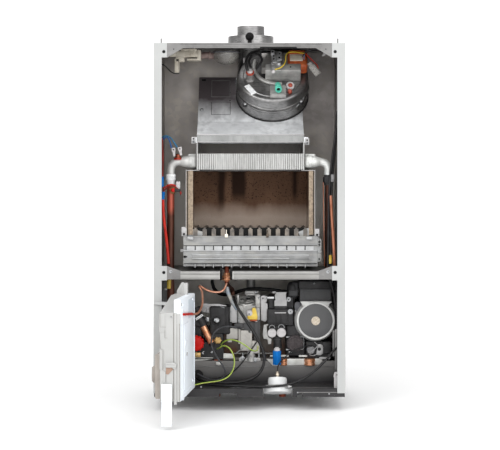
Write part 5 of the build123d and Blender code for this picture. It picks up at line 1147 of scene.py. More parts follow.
def addReturnSide(s):
    piece("returnBlock", "nylonBlack",
        [*blocks("38 -214 -233 94 -140 -197 3.2 3, 41 -206 -198 95 -140 -171.5 2.4 3, "
        "41.2 -211 -197 51.3 -185 -175 2.2, 53.5 -211.5 -203.4 79.6 -180 -190.5 1.4, "
        "66.4 -216 -229 69 -205 -208 0.8, 55 -215.6 -231 57 -205 -208 0.7, "
        "81 -215.6 -231 83.4 -205 -206 0.7, 38.6 -216 -231.8 93.6 -208 -228.8 0.9, "
        "44 -212 -258 78 -150 -232 3, 78 -206 -300 120 -140 -232 4 3"),
        lathe("9.3 -281, 9.3 -272, 8.4 -271, 8.4 -262, 9.6 -261, 9.6 -256, 7 -255", 36, (60, -215, 0)),
        lathe("16.5 0, 16.5 60, 14 62", 48, (s["filter"][0], -208, s["filter"][1]), (0, 1, 0)),
        *blocks("120 -206 -306 176 -150 -267 4 3, 156 -211 -294 175.5 -150 -268 2 3"),
        lathe("11.9 -176, 11.9 -152, 11.3 -147.4, 9.2 -143.4, 6 -140.9, 0.4 -140.2", 36, (93.2, -190, 0)),
        block(92, -200, -168, 106, -172, -141, 2.4, 3),], replaces="return_manifold", angle=34)
    piece("returnCollar", "absCharcoal", [lathe("12.4 -171, 12.4 -158.4, 11.8 -157.6", 36, (93.2, -190, 0)),
        block(84, -203, -171, 104.6, -186, -157.8, 2, 3), lathe("2.2 0, 9.1 0, 9.1 0.9, 8 1.6, 2.2 1.6", 30,
        (60, -215, -263), (0, 0, 1))])
    x0 = 53.9
    piece("returnClampPlate", "galvanisedBright",
        [facing([(x0, -190.9), (79.6, -190.9), (79.6, -179.6), (78, -178), (78, -163.6), (79.4, -162),
        (55.2, -162), (53, -164.6), (49.6, -163.4), (48.2, -160.4), (52.4, -159.8), (56, -160.2), (57, -165),
        (54.6, -168.6), (56.2, -179), (x0, -180)], 1.6, -213.4),
        facing(oblong(x0, -207, 78.3, -204.4, 1), 1, -215.2)])
    piece("returnBarePlate", "whiteFilm", [facing(oblong(37.8, -175.5, 52.6, -171.6, 0.9), 0.7, -212.6)])
    bolts, slots = [], []
    for x, z, r in ((84.1, -177.4, 3.4), (87.6, -203.1, 4)):
        bolts.append(boss([[r + 1.4, 0], [r + 1.4, 1]], 24, (x, -206.5 if z > -190 else -214, z)))
        bolts.append(hexShape((x, -207.4 if z > -190 else -214.8, z), (0, -1, 0), r * 1.7, 3.2))
        slots.append(boss("0.4 0, 1.3 0, 1.3 0.3, 0.4 0.3", 16, (x, -210.5 if z > -190 else -218, z)))
    piece("returnBolts", "zincPlate", bolts, angle=25)
    piece("returnBoltCentres", "shadowBlack", slots)
    piece("returnBracket", "castAluminium",
        [facing("30.7 -231, 39.6 -229.6, 40.2 -232, 36.8 -233, 37.6 -246, 40.6 -258, 47.2 -261, 46 -272, "
        "40 -272.6, 38.6 -262, 30.4 -261, 28.4 -252", 1.8, -218.4)])
    caps, loops = [], []
    for x, z, r in s["caps"]:
        at = (x, -221, z)
        caps.append(boss([[r - 0.5, -9], [r - 0.5, 0], [r, 0.6], [r, 5], [r - 0.8, 6], [r - 2, 6.2],
            [r - 2.6, 5.5], [0.4, 5.6]], 44, at))
        caps.append(block(x - 0.58 * r, -227.3, z - 1.7, x + 0.58 * r, -225, z - 0.5, 0.5))
        caps.append(block(x - 0.5 * r, -227.2, z + 1.6, x + 0.5 * r, -225, z + 2.6, 0.4))
        t = np.radians(np.linspace(-12, 192, 26))
        loops.append(tube(np.column_stack([x + 0.62 * r * np.cos(t), np.full(26, -219),
            z + r + 1.2 + 5.6 * np.sin(t)]), 0.85, 10))
    piece("drainCaps", "whiteAcetal", caps, angle=30)
    piece("capWireLoops", "zincPlate", loops)
    x, z = s["filter"]
    piece("filterCapRibbed", "ribbedNylon",
        [facing(scalloped(18.2, 1.7, 26, 208), 9.4, -219.6, x, z, edge=0.4),
        boss("15.6 9, 15.6 10.4, 14.4 11, 12.6 10.6, 12.2 9.6, 0.4 9.6", 48, (x, -210.2, z)),
        facing(oblong(-1.9, -11.4, 1.9, 11.4, 1.8), 2.6, -221.6, x, z, edge=0.6)], "filter_lid",
        replaces="filter_cap", angle=32)
    piece("filterWireClip", "zincPlate",
        [tube(cornered("78.4 -213 -257.6, 83 -208.2 -257.6, 116.4 -207.8 -257.8, 116.4 -207.8 -284.5, "
        "83 -208.2 -284.8, 78.4 -213 -284.8", 3), 1.05, 10),
        *blocks("84 -213 -292 90.6 -205 -288.6 0.8, 78 -214.6 -286.4 84.6 -210 -283.4 0.8, "
        "78 -214.6 -259.4 84.6 -210 -256.4 0.8")])
    x, y = s["tap"]
    piece("fillingTapGrip", "blueNylon",
        [placed(slab(scalloped(8.7, 0.8, 14, 168), 30, edge=0.8), (x, y, -315.5), (1, 0, 0), (0, 0, 1))],
        "fill_tap", replaces="filling_tap", angle=35)
    piece("fillingTapCollar", "whiteAcetal",
        [lathe("6.8 -286, 6.8 -281.4, 6.2 -280.4, 4 -280, 4 -278", 36, (x, y, 0))], "fill_tap")
    x, z = s["plug"]
    piece("serviceProbePlug", "absSilverGrey",
        [boss("8.6 0, 8.6 5, 7.8 6, 7.8 11, 6.4 12.4, 5.2 12.4, 4.6 11.4, 0.4 11.4", 36, (x, -205, z)),
        placed(slab(oblong(-5.4, -1.1, 5.4, 1.1, 0.9), 2.2, edge=0.4), (x, -215.4, z), (0.8, 0, 0.6),
        (0, -1, 0)), block(x - 4, -214, z + 3, x - 1, -208, z + 9, 0.8)], angle=30)
    piece("serviceProbeBracket", "galvanisedBright",
        [facing("143.4 -294.5, 146.6 -297, 153 -297, 157.4 -293, 158.1 -280, 156 -274.6, 152 -273, 146 -274",
        2, -212.6, holes=[circle(149.9, -284, 3.6)]), facing(oblong(150, -305.4, 173.6, -301.2, 1), 2.4,
        -209.6), tube(curved("139 -211 -268.6, 146 -213.4 -274.4, 142.4 -216 -280.6, 135 -217 -287, "
        "131 -216 -290"), 0.95, 10), tube(curved("128 -208 -296, 136 -211 -298, 144 -212 -295, "
        "148 -212 -291"), 0.95, 10)])
    # front strip of the pipe shelf with the copper unions that stand through it
    piece("shelfStripRight", "zincSatin",
        [facing("36.8 -306, 64 -305.4, 152 -304.6, 157.4 -307.6, 150 -317.4, 50 -320.2, 44 -314", 1.4,
        -207.4), facing(oblong(44, -301, 84, -297, 1), 1.4, -206.6),
        facing(oblong(106, -301.4, 124, -297.4, 1), 1.4, -206.8)])
    unions = []
    for x, r in ((73.4, 8.2), (129.4, 12.2)):
        unions += [lathe([[r - 1.6, -319.2], [r, -318.2], [r, -315.2], [r - 0.7, -314.4], [r - 0.7, -311],
            [r, -310.2], [r, -306], [r - 1, -304.8], [r - 3.4, -304.2]], 40, (x, -205, 0))]
    piece("copperUnions", "polishedCopper", unions)


addReturnSide(returnSettings)
print("return side added")

valveSettings = {"drum": (-6, -184, -181), "drumAxis": (0, -0.40, 0.917), "button": (0, -205.5)}


def addGasValve(s):
    drum, axis = s["drum"], unit(s["drumAxis"])
    # turned drum leaning forward: a bright rim, a dished face and the parts that stand in it
    rim = lathe("14 -22, 20.5 -20, 21.5 -10, 21.5 -9, 22.6 -8.4, 22.6 -0.6, 21.8 0.4, 19.4 0.4, 18.6 -0.4, "
        "18.2 -5, 0.4 -5", 64, drum, axis)
    piece("valveDrum", "turnedAluminium", [rim], replaces="gas_valve_body", angle=28)
    x = unit(np.cross((0, 1, 0.4), axis))
    y = np.cross(axis, x)
    at = np.asarray(drum)
    piece("valveDrumFittings", "castAluminium",
        [lathe("6.4 -5, 6.4 3, 5.6 4, 4.4 4, 4 1, 0.4 1", 32, at - 11.5 * x - 2 * y, axis),
        lathe("8.4 -5, 8.4 1.4, 7.6 2.2, 6 2.2, 5.6 0.8, 0.4 0.8", 32, at + 4.5 * x + 3 * y, axis),
        lathe("3 -5, 3 3.4, 2.4 4, 0.4 4", 24, at + 13.5 * x - 6 * y, axis),
        tube(curved([at - 4 * x - 11 * y - axis, at + 5 * x - 12 * y + axis, at + 13 * x - 7 * y + axis]),
        1.5, 12)])
    piece("valveDrumHoles", "shadowBlack", [lathe("3.9 1.1, 3.9 1.4", 24, at - 11.5 * x - 2 * y, axis),
        lathe("5.2 0.9, 5.2 1.1", 24, at + 4.5 * x + 3 * y, axis)])
    piece("valveBody", "castAluminium",
        blocks("-27 -204 -243 23 -150 -190 2.4 3, -24 -206.6 -240 -13 -200 -192 1.2, "
        "-16.2 -209 -206 -13.6 -203 -193 0.8, -28 -196 -190 -22 -170 -168 1.4, "
        "12 -208 -196 23.4 -160 -166 2.2 3, -10 -196 -168 20 -160 -160 2, "
        "-7 -198.6 -170 17.6 -190 -165.8 1.4"))
    piece("valveScrews", "zincPlate", [boss("2.4 -3, 2.4 1.4, 1.6 2.4, 0.4 2.6", 24, (x0, y0, z0))
        for x0, y0, z0 in ((13.7, -199.6, -162.7), (21.4, -208.4, -174.8), (-22.5, -207, -217),
        (-22.5, -207, -223.5), (3.3, -212, -246.6))])
    pale = blocks("-49.3 -209 -262.4 -25.2 -190 -239.4 1.2, -23.8 -210.4 -273 -19.6 -192 -239 0.9, "
        "-19.7 -212 -287.6 5.5 -160 -243.6 1.6 3, 5 -210 -293 22 -168 -266 2 3, "
        "-47 -205 -270 -38 -192 -262 1")
    pale += [facing(oblong(x0, z0, x1, z1, 1.2), 0.7, y0,
        holes=[oblong(x0 + 1, z0 + 1, x1 - 1, z1 - 1, 0.8)], edge=0.15)
        for x0, z0, x1, z1, y0 in ((-45, -255, -33.6, -243, -209.6), (-14.6, -276.6, 1, -250, -212.6))]
    pale += [tube("-2 -212.3 -262.2, -12 -212.3 -252.6", 0.7, 8)]
    piece("valveLowerCasting", "valvePale", pale)
    piece("valvePlugHousing", "absCharcoal",
        [facing("-12.6 -228, 22.5 -222, 22.5 -266, 14 -266, 8.6 -250, -2.6 -248.6, -3 -244.4, -11.4 -243.6, "
        "-13.8 -238", 16, -212.4, edge=1.2),
        *blocks("9 -214 -264 20.6 -200 -226 2.4 3, -33 -212 -240 -13 -196 -228.6 2.2 3")])
    left = [facing("-41.4 -227.4, -27 -227.4, -27 -206, -29 -190, -33 -187.6, -39 -188.6, -42 -196", 2,
        -210.6)]
    right = [facing("24 -170.4, 31 -169, 38.4 -171.4, 37.6 -181, 34 -184.4, 38.6 -187, 39.6 -207, 38 -221, "
        "34 -226, 24.6 -222", 2, -206.6, holes=[circle(28.6, -176, 1.4, 12)])]
    piece("valveSidePlates", "galvanisedBright", left + right)
    bx, bz = s["button"]
    piece("coilPlug", "yellowNylon", [facing("6.2 -194.6, 12.4 -194, 15.4 -203, 17.6 -214, 17 -218.8, "
        "-3.4 -218.8, -5 -213, 5 -204", 15, -224, edge=1.6),
        block(-3, -225.4, -219, 17.2, -214, -214.8, 1.2)], replaces="gas_valve_coil", angle=30)
    piece("coilPlugBase", "windingTape", [block(0.6, -222, -223, 16.8, -209, -218, 1.6)])
    button = lathe("7.2 -14, 7.4 -2, 7 0.4, 5.6 1.9, 3.4 2.8, 0.4 3.1", 36, (bx, -222.4, bz),
        (-0.1, -1, 0.05))
    piece("coilButton", "whiteAcetal", [button, block(12, -214, -225.6, 16.6, -209, -222, 0.9)])
    piece("coilButtonMark", "absGrey",
        [lathe("1.7 3, 1.7 3.3, 0.3 3.3", 16, (bx - 0.4, -222.4, bz - 2), (-0.1, -1, 0.05))])
    piece("valveInletFlange", "castAluminium",
        [lathe("9.8 -311, 9.8 -300, 8.8 -299, 8.8 -288, 10.4 -287", 36, (3.2, -202, 0)),
        facing(oblong(-23, -311, 24, -302.6, 3), 6, -207.6, edge=0.9),
        block(-34, -204, -294.6, 58, -199, -293.2, 0.6)])
    bolts = []
    for x0, z0 in ((-14.8, -304.5), (12.2, -307.6)):
        bolts += [boss("5 0, 5 1.2, 3.4 1.5", 24, (x0, -208, z0)),
            hexShape((x0, -209, z0), (0, -1, 0), 6.4, 3.6)]
    bolts += [lathe("1.9 -303, 1.9 -295.5, 2.9 -295, 2.9 -292.4", 20, (x0, -204, 0)) for x0 in (-14.8, 20.3)]
    bolts += [tube("-30.7 -214 -294, -14 -215 -281", 0.95, 10)]
    piece("valveInletBolts", "zincPlate", bolts, angle=25)
    piece("valveOutletPipe", "galvanisedShade",
        [lathe("10.6 -166, 10.6 -157.4, 9.6 -156.6, 9.6 -131, 0.4 -131", 36, (3.2, -150, 0))])


addGasValve(valveSettings)
print("gas valve added")

diverterSettings = {"screw": (-70.5, -222.8), "knob": (-113.5, -270.2), "ring": (-67.5, -265)}


def addDiverter(s):
    x, z = s["screw"]
    piece("diverterCase", "nylonBlack",
        [*blocks("-85 -214 -252 -41.5 -153 -192 4 4, -52.5 -216 -236 -49.5 -205 -193 1.2, "
        "-84 -216.6 -236 -81.4 -205 -196 1.1, -45.6 -216 -240 -43 -200 -193 1.1"),
        boss("9.4 -2, 9.4 2.2, 8.6 3, 7.2 3, 7 1, 0.4 1", 36, (x, -214, z)),
        *blocks("-83 -211 -268 -56 -170 -250 3 3, -44 -211 -236 -37.4 -190 -225 1.4")],
        replaces="diverter_motor", angle=34)
    head = lathe("6 0, 6 1.6, 5.2 2.6, 3.4 3, 0.4 3.1", 32, (x + 0.4, -215, z + 1), (-0.1, -1, 0.35))
    piece("diverterScrew", "zincPlate", [head])
    piece("diverterScrewSlot", "shadowBlack", [block(x - 4.8, -219, z - 3, x + 4.4, -217.2, z - 1.4, 0.3),
        lathe("8.2 0, 8.2 1.2, 6 1.6", 32, (x + 0.4, -215, z + 1), (-0.1, -1, 0.35))])
    piece("diverterBracket", "galvanisedBright",
        [facing("-103.7 -187.4, -90 -187.4, -90 -206.6, -103.7 -206", 1.2, -196),
        facing("-96 -188, -66 -187.6, -50 -190.6, -48 -193.4, -62 -193.2, -70 -192.4, -84 -193, -88 -196.4, "
        "-86 -206, -90.6 -206.8, -92.6 -196, -96.4 -193", 1.4, -206)])
    piece("diverterLever", "zincPlate",
        [tube(curved("-63.4 -212 -192.4, -52 -213 -196, -38.8 -210 -204.2"), 1, 10),
        facing(oblong(-93.6, -225.4, -86.6, -216.2, 2.4), 3, -207)])
    # flow sensor plug with its wire clip, the copper stub below it and a brass union
    axis = unit((0.56, 0, -0.83))
    piece("flowSensorPlug", "nylonBlack",
        [tube("-124 -206 -205, -106 -209 -221, -98 -209 -234", [9.5, 10.5, 9.5], 28),
        *blocks("-122 -217 -236 -101 -190 -212 4 3, -128 -208 -262 -101 -180 -232 4 3")])
    across = unit((0.83, 0, 0.56))
    clip = []
    for shift in (-1.5, 1.5):
        mid = np.array((-107.6, -220, -214.4)) + axis * shift
        clip.append(tube(cornered([mid - across * 9, mid - across * 8 + (0, -1, 0),
            mid + across * 8 + (0, -1, 0), mid + across * 9], 1), 0.85, 8))
    clip += [tube([np.array((-107.6, -220.8, -214.4)) + across * t - axis * 1.5,
        np.array((-107.6, -220.8, -214.4)) + across * t + axis * 1.5], 0.8, 8)
        for t in (-7, -3.4, 0, 3.4, 7)]
    piece("flowSensorClip", "whiteFilm", clip)
    piece("flowCopperStub", "polishedCopper",
        [tube("-104.5 -208 -226, -97.5 -212 -238, -82 -213 -270", 7.1, 28)])
    x, z = s["ring"]
    piece("flowBrassFittings", "turnedBrass",
        [boss("6.6 -8, 6.6 0, 5.8 1, 4.2 1, 3.6 -0.6, 0.4 -0.6", 30, (x, -213, z)),
        hexShape((x, -209, z), (0, -1, 0), 14, 4),
        *blocks("-117 -219 -301 -104.4 -204 -290.4 1.6, -77 -210 -270 -66 -200 -259 1.2")], angle=25)
    x, z = s["knob"]
    turn = facing(scalloped(17, 1.5, 12), 12, -224.4, x, z, edge=1.2)
    dome = boss("15.4 11, 15.2 13, 13.6 15, 10 16.2, 0.4 16.8", 48, (x, -212.4, z))
    piece("safetyKnobGrip", "redNylon", [turn, dome, boss("8 -2.6, 8 1", 32, (x, -212.4, z))], "safety_knob",
        replaces="safety_valve_knob", angle=32)
    piece("shelfStripLeft", "zincSatin",
        [facing("-150 -295, -112 -294, -109 -300.6, -104 -300.6, -103 -294.6, -84 -294, -80 -298, -66 -298, "
        "-62 -293, -34.6 -294.6, -34.6 -304, -70 -304.6, -96 -308.6, -118 -310, -150 -310.6", 1.4, -207.4),
        facing(oblong(-120, -303.8, -78, -302.2, 0.7), 1.6, -209.4),
        facing("-72 -312, -59 -312, -59 -317.6, -66 -319, -72 -317", 2, -210)])
    piece("flowClips", "zincPlate", [facing("-103 -291, -98 -287.6, -97 -289, -99.4 -290.6, -97.6 -294, "
        "-100 -294.6", 1.2, -216), facing("-84 -291, -79.6 -287.6, -78.6 -289.4, -80 -293", 1.2, -214)])


addDiverter(diverterSettings)
print("diverter side added")

# dark plate that closes the tray behind the pipe tails, with its pale upper rim
piece("traySkirt", "skirtEnamel", [facing("-189 -357, 189 -357, 189 -309.5, -189 -309.5", 1.2, -206.2,
    edge=0.25)])
piece("traySkirtRim", "galvanisedShade", [block(-189, -207.4, -322.6, 189, -204.6, -320.8, 0.5)])

# control box: moulded shell, lid, feet, latch and the capillary that joins it to the works

boxSettings = {"hinge": (-150, -325, 0), "uDir": (-0.1045, -0.9945, 0), "far": 190, "low": -347,
    "nearTop": -176.5, "top": -155, "front": -3, "seam": 24, "back": 37}


def inBox(shape):
    # box coordinates: u along its width, v through its depth, z up
    return placed(shape, boxSettings["hinge"], boxSettings["uDir"], (0, 0, 1))


def boxSide(outline, v0, v1, edge=1.2, holes=()):
    # an outline in u and z filled between two depths
    points, faces = slab(outline, v1 - v0, holes, edge)
    return inBox((points[:, [0, 2, 1]] + (0, v0, 0), faces))


def onEnd(outline, thickness, u, edge):
    # an outline in v and z that stands on the box's end, from u outwards
    return inBox(placed(slab(outline, thickness, edge=edge), (u, 0, 0), (0, 1, 0), (1, 0, 0)))


def groove(points, radius=0.32):
    # a fine dark joint drawn on the end face
    return inBox(tube(points, radius, 6))


def addControlBox(s):
    far, low, top = s["far"], s["low"], s["top"]
    main = [boxSide([(-6, low), (far, low), (far, s["nearTop"]), (58, top + 1.5), (-6, top)], s["front"],
        s["seam"]), inBox(block(far - 5, s["front"] - 1.5, -214, far + 1, 7, -178.5, 0.8)),
        inBox(block(far - 5, s["front"] - 0.6, -286, far + 1.2, 3.4, -247, 0.8)),
        inBox(block(far - 4, 3, -312, far + 0.8, 9, -289, 0.8)),
        inBox(block(2, -4.4, low + 2, 10, 30, low + 40, 1.4)),
        inBox(lathe([[4.4, low + 4], [5.4, low + 5], [5.4, -170], [4.4, -169]], 28, (0, 0, 0)))]
    main += [onEnd("3 -157, 3 -148, 12.5 -131.4, 15.6 -130, 18 -132, 18.6 -157", 7, 13, 0.6),
        *map(inBox, blocks("34 20.6 -158 46 29 -130 1.2, 37 17 -158 43 22 -140 1"))]
    # the shell's end facing the room is greyer as painted shade
    piece("boxShell", "absFront", main, "control_box", replaces="control_box_shell control_box_cover",
        angle=32)
    lid = [boxSide([(-3, low - 2), (far - 2, low - 1), (far - 1, top + 4), (-1, top + 1), (-6, top - 6),
        (-6, low + 4)], s["seam"], s["back"]), inBox(block(80, 28, low - 6, 88, 33, low + 3, 0.8)),
        inBox(block(134, 29, low - 5, 146, 36, low + 3, 0.8))]
    piece("boxLidEnd", "absFront", [inBox(block(far - 6, s["seam"] + 0.5, low - 6.5, far + 0.9,
        s["seam"] + 5.5, -176, 0.9)), inBox(block(far - 4, s["seam"] + 5.4, low - 0.6, far + 0.5,
        s["back"] - 0.4, -178, 0.8))], "control_box", angle=32)
    # the board inside, its top cut to the slope of the shell above it
    piece("boxBoard", "boardGreen", [boxSide("20 -339, 182 -339, 182 -180, 118 -169, 20 -165", 17, 18.6,
        0.3), *map(inBox, blocks("30 0 -240 68 17.4 -200 1, 90 5 -215 170 17.4 -200 1, "
        "100 3 -190 125 17.4 -176 1"))], "control_box", replaces="circuit_board", angle=30)
    # stiffening ribs, the shallow pocket behind the capillary and small bosses on the back face
    ribs = [(4, 36.6, -338, 7, 38, -172), (140, 36.6, -332, 142.6, 37.9, -206),
        (168, 36.6, -340, 170.4, 38, -170), (6, 36.6, -340, 184, 37.7, -337.6),
        (112, 36.6, -246, 132, 38.4, -236), (90, 36.6, -205, 184, 37.6, -203)]
    lid += [inBox(block(u0, v0, z0, u1, v1, z1, 0.5)) for u0, v0, z0, u1, v1, z1 in ribs]
    lid += [inBox(lathe([[r, 0], [r, 1.4], [r - 0.7, 2]], 20, (u, 36.6, z), (0, 1, 0)))
        for u, z, r in ((30, -165, 3), (160, -165, 3), (30, -330, 3), (160, -330, 3))]
    piece("boxLid", "absWhiteBack", lid, "control_box", angle=32)
    # the pocket is a thin plate a shade greyer: painted shade in the recess
    piece("boxPocket", "absPocket", [inBox(block(6, 36.7, -198, 88, 37.25, -160, 0.25, 1))], "control_box")
    u = far + 1.25
    piece("boxJoints", "absJointShade", [groove([(u, -2.6, -177), (u, -2.6, -203.7), (u, 8.8, -203.9)]),
        groove([(u, 6.8, -210.4), (u, 6.8, -224.7), (u, 12, -225)]),
        groove([(u, -2.6, -229.5), (u, -2.6, -244.8), (u, 2.9, -248.6), (u + 0.3, 3, -286.7),
        (u, 8.6, -289.6), (u, 8.8, -309.6)]), groove([(u - 0.9, 23.9, -177), (u - 0.9, 23.9, -346)], 0.42),
        groove([(u - 0.6, 35.4, -197), (u - 0.6, 35.6, -347)], 0.42),
        groove([(u - 0.8, 30.6, -198), (u - 0.8, 30.7, -349)], 0.25),
        inBox(tube("112 38.6 -262, 116 38.6 -268", 0.8, 8)),
        inBox(tube("182 37.2 -158, 182 37.2 -164", 0.8, 8))], "control_box")
    piece("boxLatch", "absFront", [inBox(block(far - 2, 8.4, -281.6, far + 6.2, 29.6, -273.6, 1.6, 3)),
        inBox(block(far - 2, 22, -284, far + 4.5, 28.6, -279, 1.2)),
        inBox(block(far + 4, 9, -276, far + 7.4, 27, -271.8, 1.2))], "control_box")
    piece("boxLatchWell", "absWarmShade",
        [onEnd("9 -282, 26 -282, 13.4 -295.4, 9 -294", 0.8, far + 0.6, 0.15)], "control_box")
    piece("flapEdgeStrip", "absGrey", [onEnd("1 -394, 21.2 -394, 21.2 -391, 1 -391", 3.2, 193.7, 0.4)],
        "flap")
    piece("boxScrews", "zincPlate", [inBox(lathe("1.7 0, 1.7 1.2, 1.2 1.7", 18, (far + 1, v, z), (1, 0, 0)))
        for v, z in ((19, -184), (19, -338), (3, -338))], "control_box")


addControlBox(boxSettings)

capillarySettings = {"route": [(-48.6, -239, -134), (-49.6, -241, -143), (-56.6, -244, -155.4),
    (-70, -247, -158.6), (-89, -251, -154.4), (-105.6, -257, -144.6), (-99.8, -264, -158),
    (-98.6, -287, -180), (-104.6, -330, -193.4), (-113.4, -366, -193.8), (-117.4, -386, -191)],
    "radius": 2.2, "sleeve": ((55, 39.6, -191.3), (165, 39.6, -181.6))}


def addCapillary(s):
    line = curved(s["route"], 2)
    copper = piece("boxCapillary", "paleCopper", [tube(line, s["radius"], 18)], body=None,
        replaces="capillary capillary_sleeve")
    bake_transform(copper)
    a, b = (np.asarray(p) for p in s["sleeve"])
    sleeve = inBox(tube([a, a + 0.3 * (b - a), b], [2.5, 2.5, 2.5], 18))
    piece("boxCapillarySleeve", "redNylon", [sleeve], "control_box")


addCapillary(capillarySettings)

gasSettings = {"x": -48.5, "y": -239, "barZ": -88.5, "half": 125.4, "centre": 2, "pitch": 19.4}


def addGasPipe(s):
    x, y, z = s["x"], s["y"], s["barZ"]
    bar = [lathe([[6.8, 0], [8, 1.2], [8, 2 * s["half"] - 1.2], [6.8, 2 * s["half"]]], 36,
        (s["centre"] - s["half"], y, z), (1, 0, 0))]
    for i in range(13):
        at = (s["centre"] + (i - 6) * s["pitch"], y, z)
        bar.append(lathe("3.6 6, 3.6 11, 2.4 11.6, 2.4 18", 20, at))
    run = cornered([(x, y, z), (x, y, -141), (-42, -214, -152), (-36, -201, -157), (-36, -201, -169)], 9, 8)
    piece("gasRail", "agedCopper", bar, replaces="gas_pipe")
    run = np.asarray(run)
    piece("gasRiser", "drawnCopper", [tube([(x, y, z), (x, y, z - 20), (x, y, -138)], 4.9, 28)])
    # the riser's lower run is drawn near-black as painted shade
    piece("gasRiserLow", "smokedCopperAndShade", [tube(run[run[:, 2] < -134], 4.8, 28)])
    piece("gasUnionNut", "polishedCopper",
        [lathe([[7.4, -118], [7.4, -123.6], [9.8, -124.4], [9.8, -127.4], [8.4, -128], [8.4, -130],
        [10.2, -130.8], [10.2, -133.6], [7, -134.4], [4, -137]][::-1], 36, (x, y, 0))], angle=28)


addGasPipe(gasSettings)
print("control box, capillary and gas pipe added")

# case: rail faces, seams, rubber grommet, painted shade in the tab holes, test plug, tray fittings, gauge and
# loose hoses

caseSettings = {"railY": -298.1, "railTop": -111.4, "railLow": -128.4, "groove": -117.2,
    "leftRun": (-144, -62.8), "rightRun": (-35.4, 145),
    "tabs": ((-178.5, 346.5), (178.5, 346.5), (-178.5, -113.5), (178.5, -113.5))}


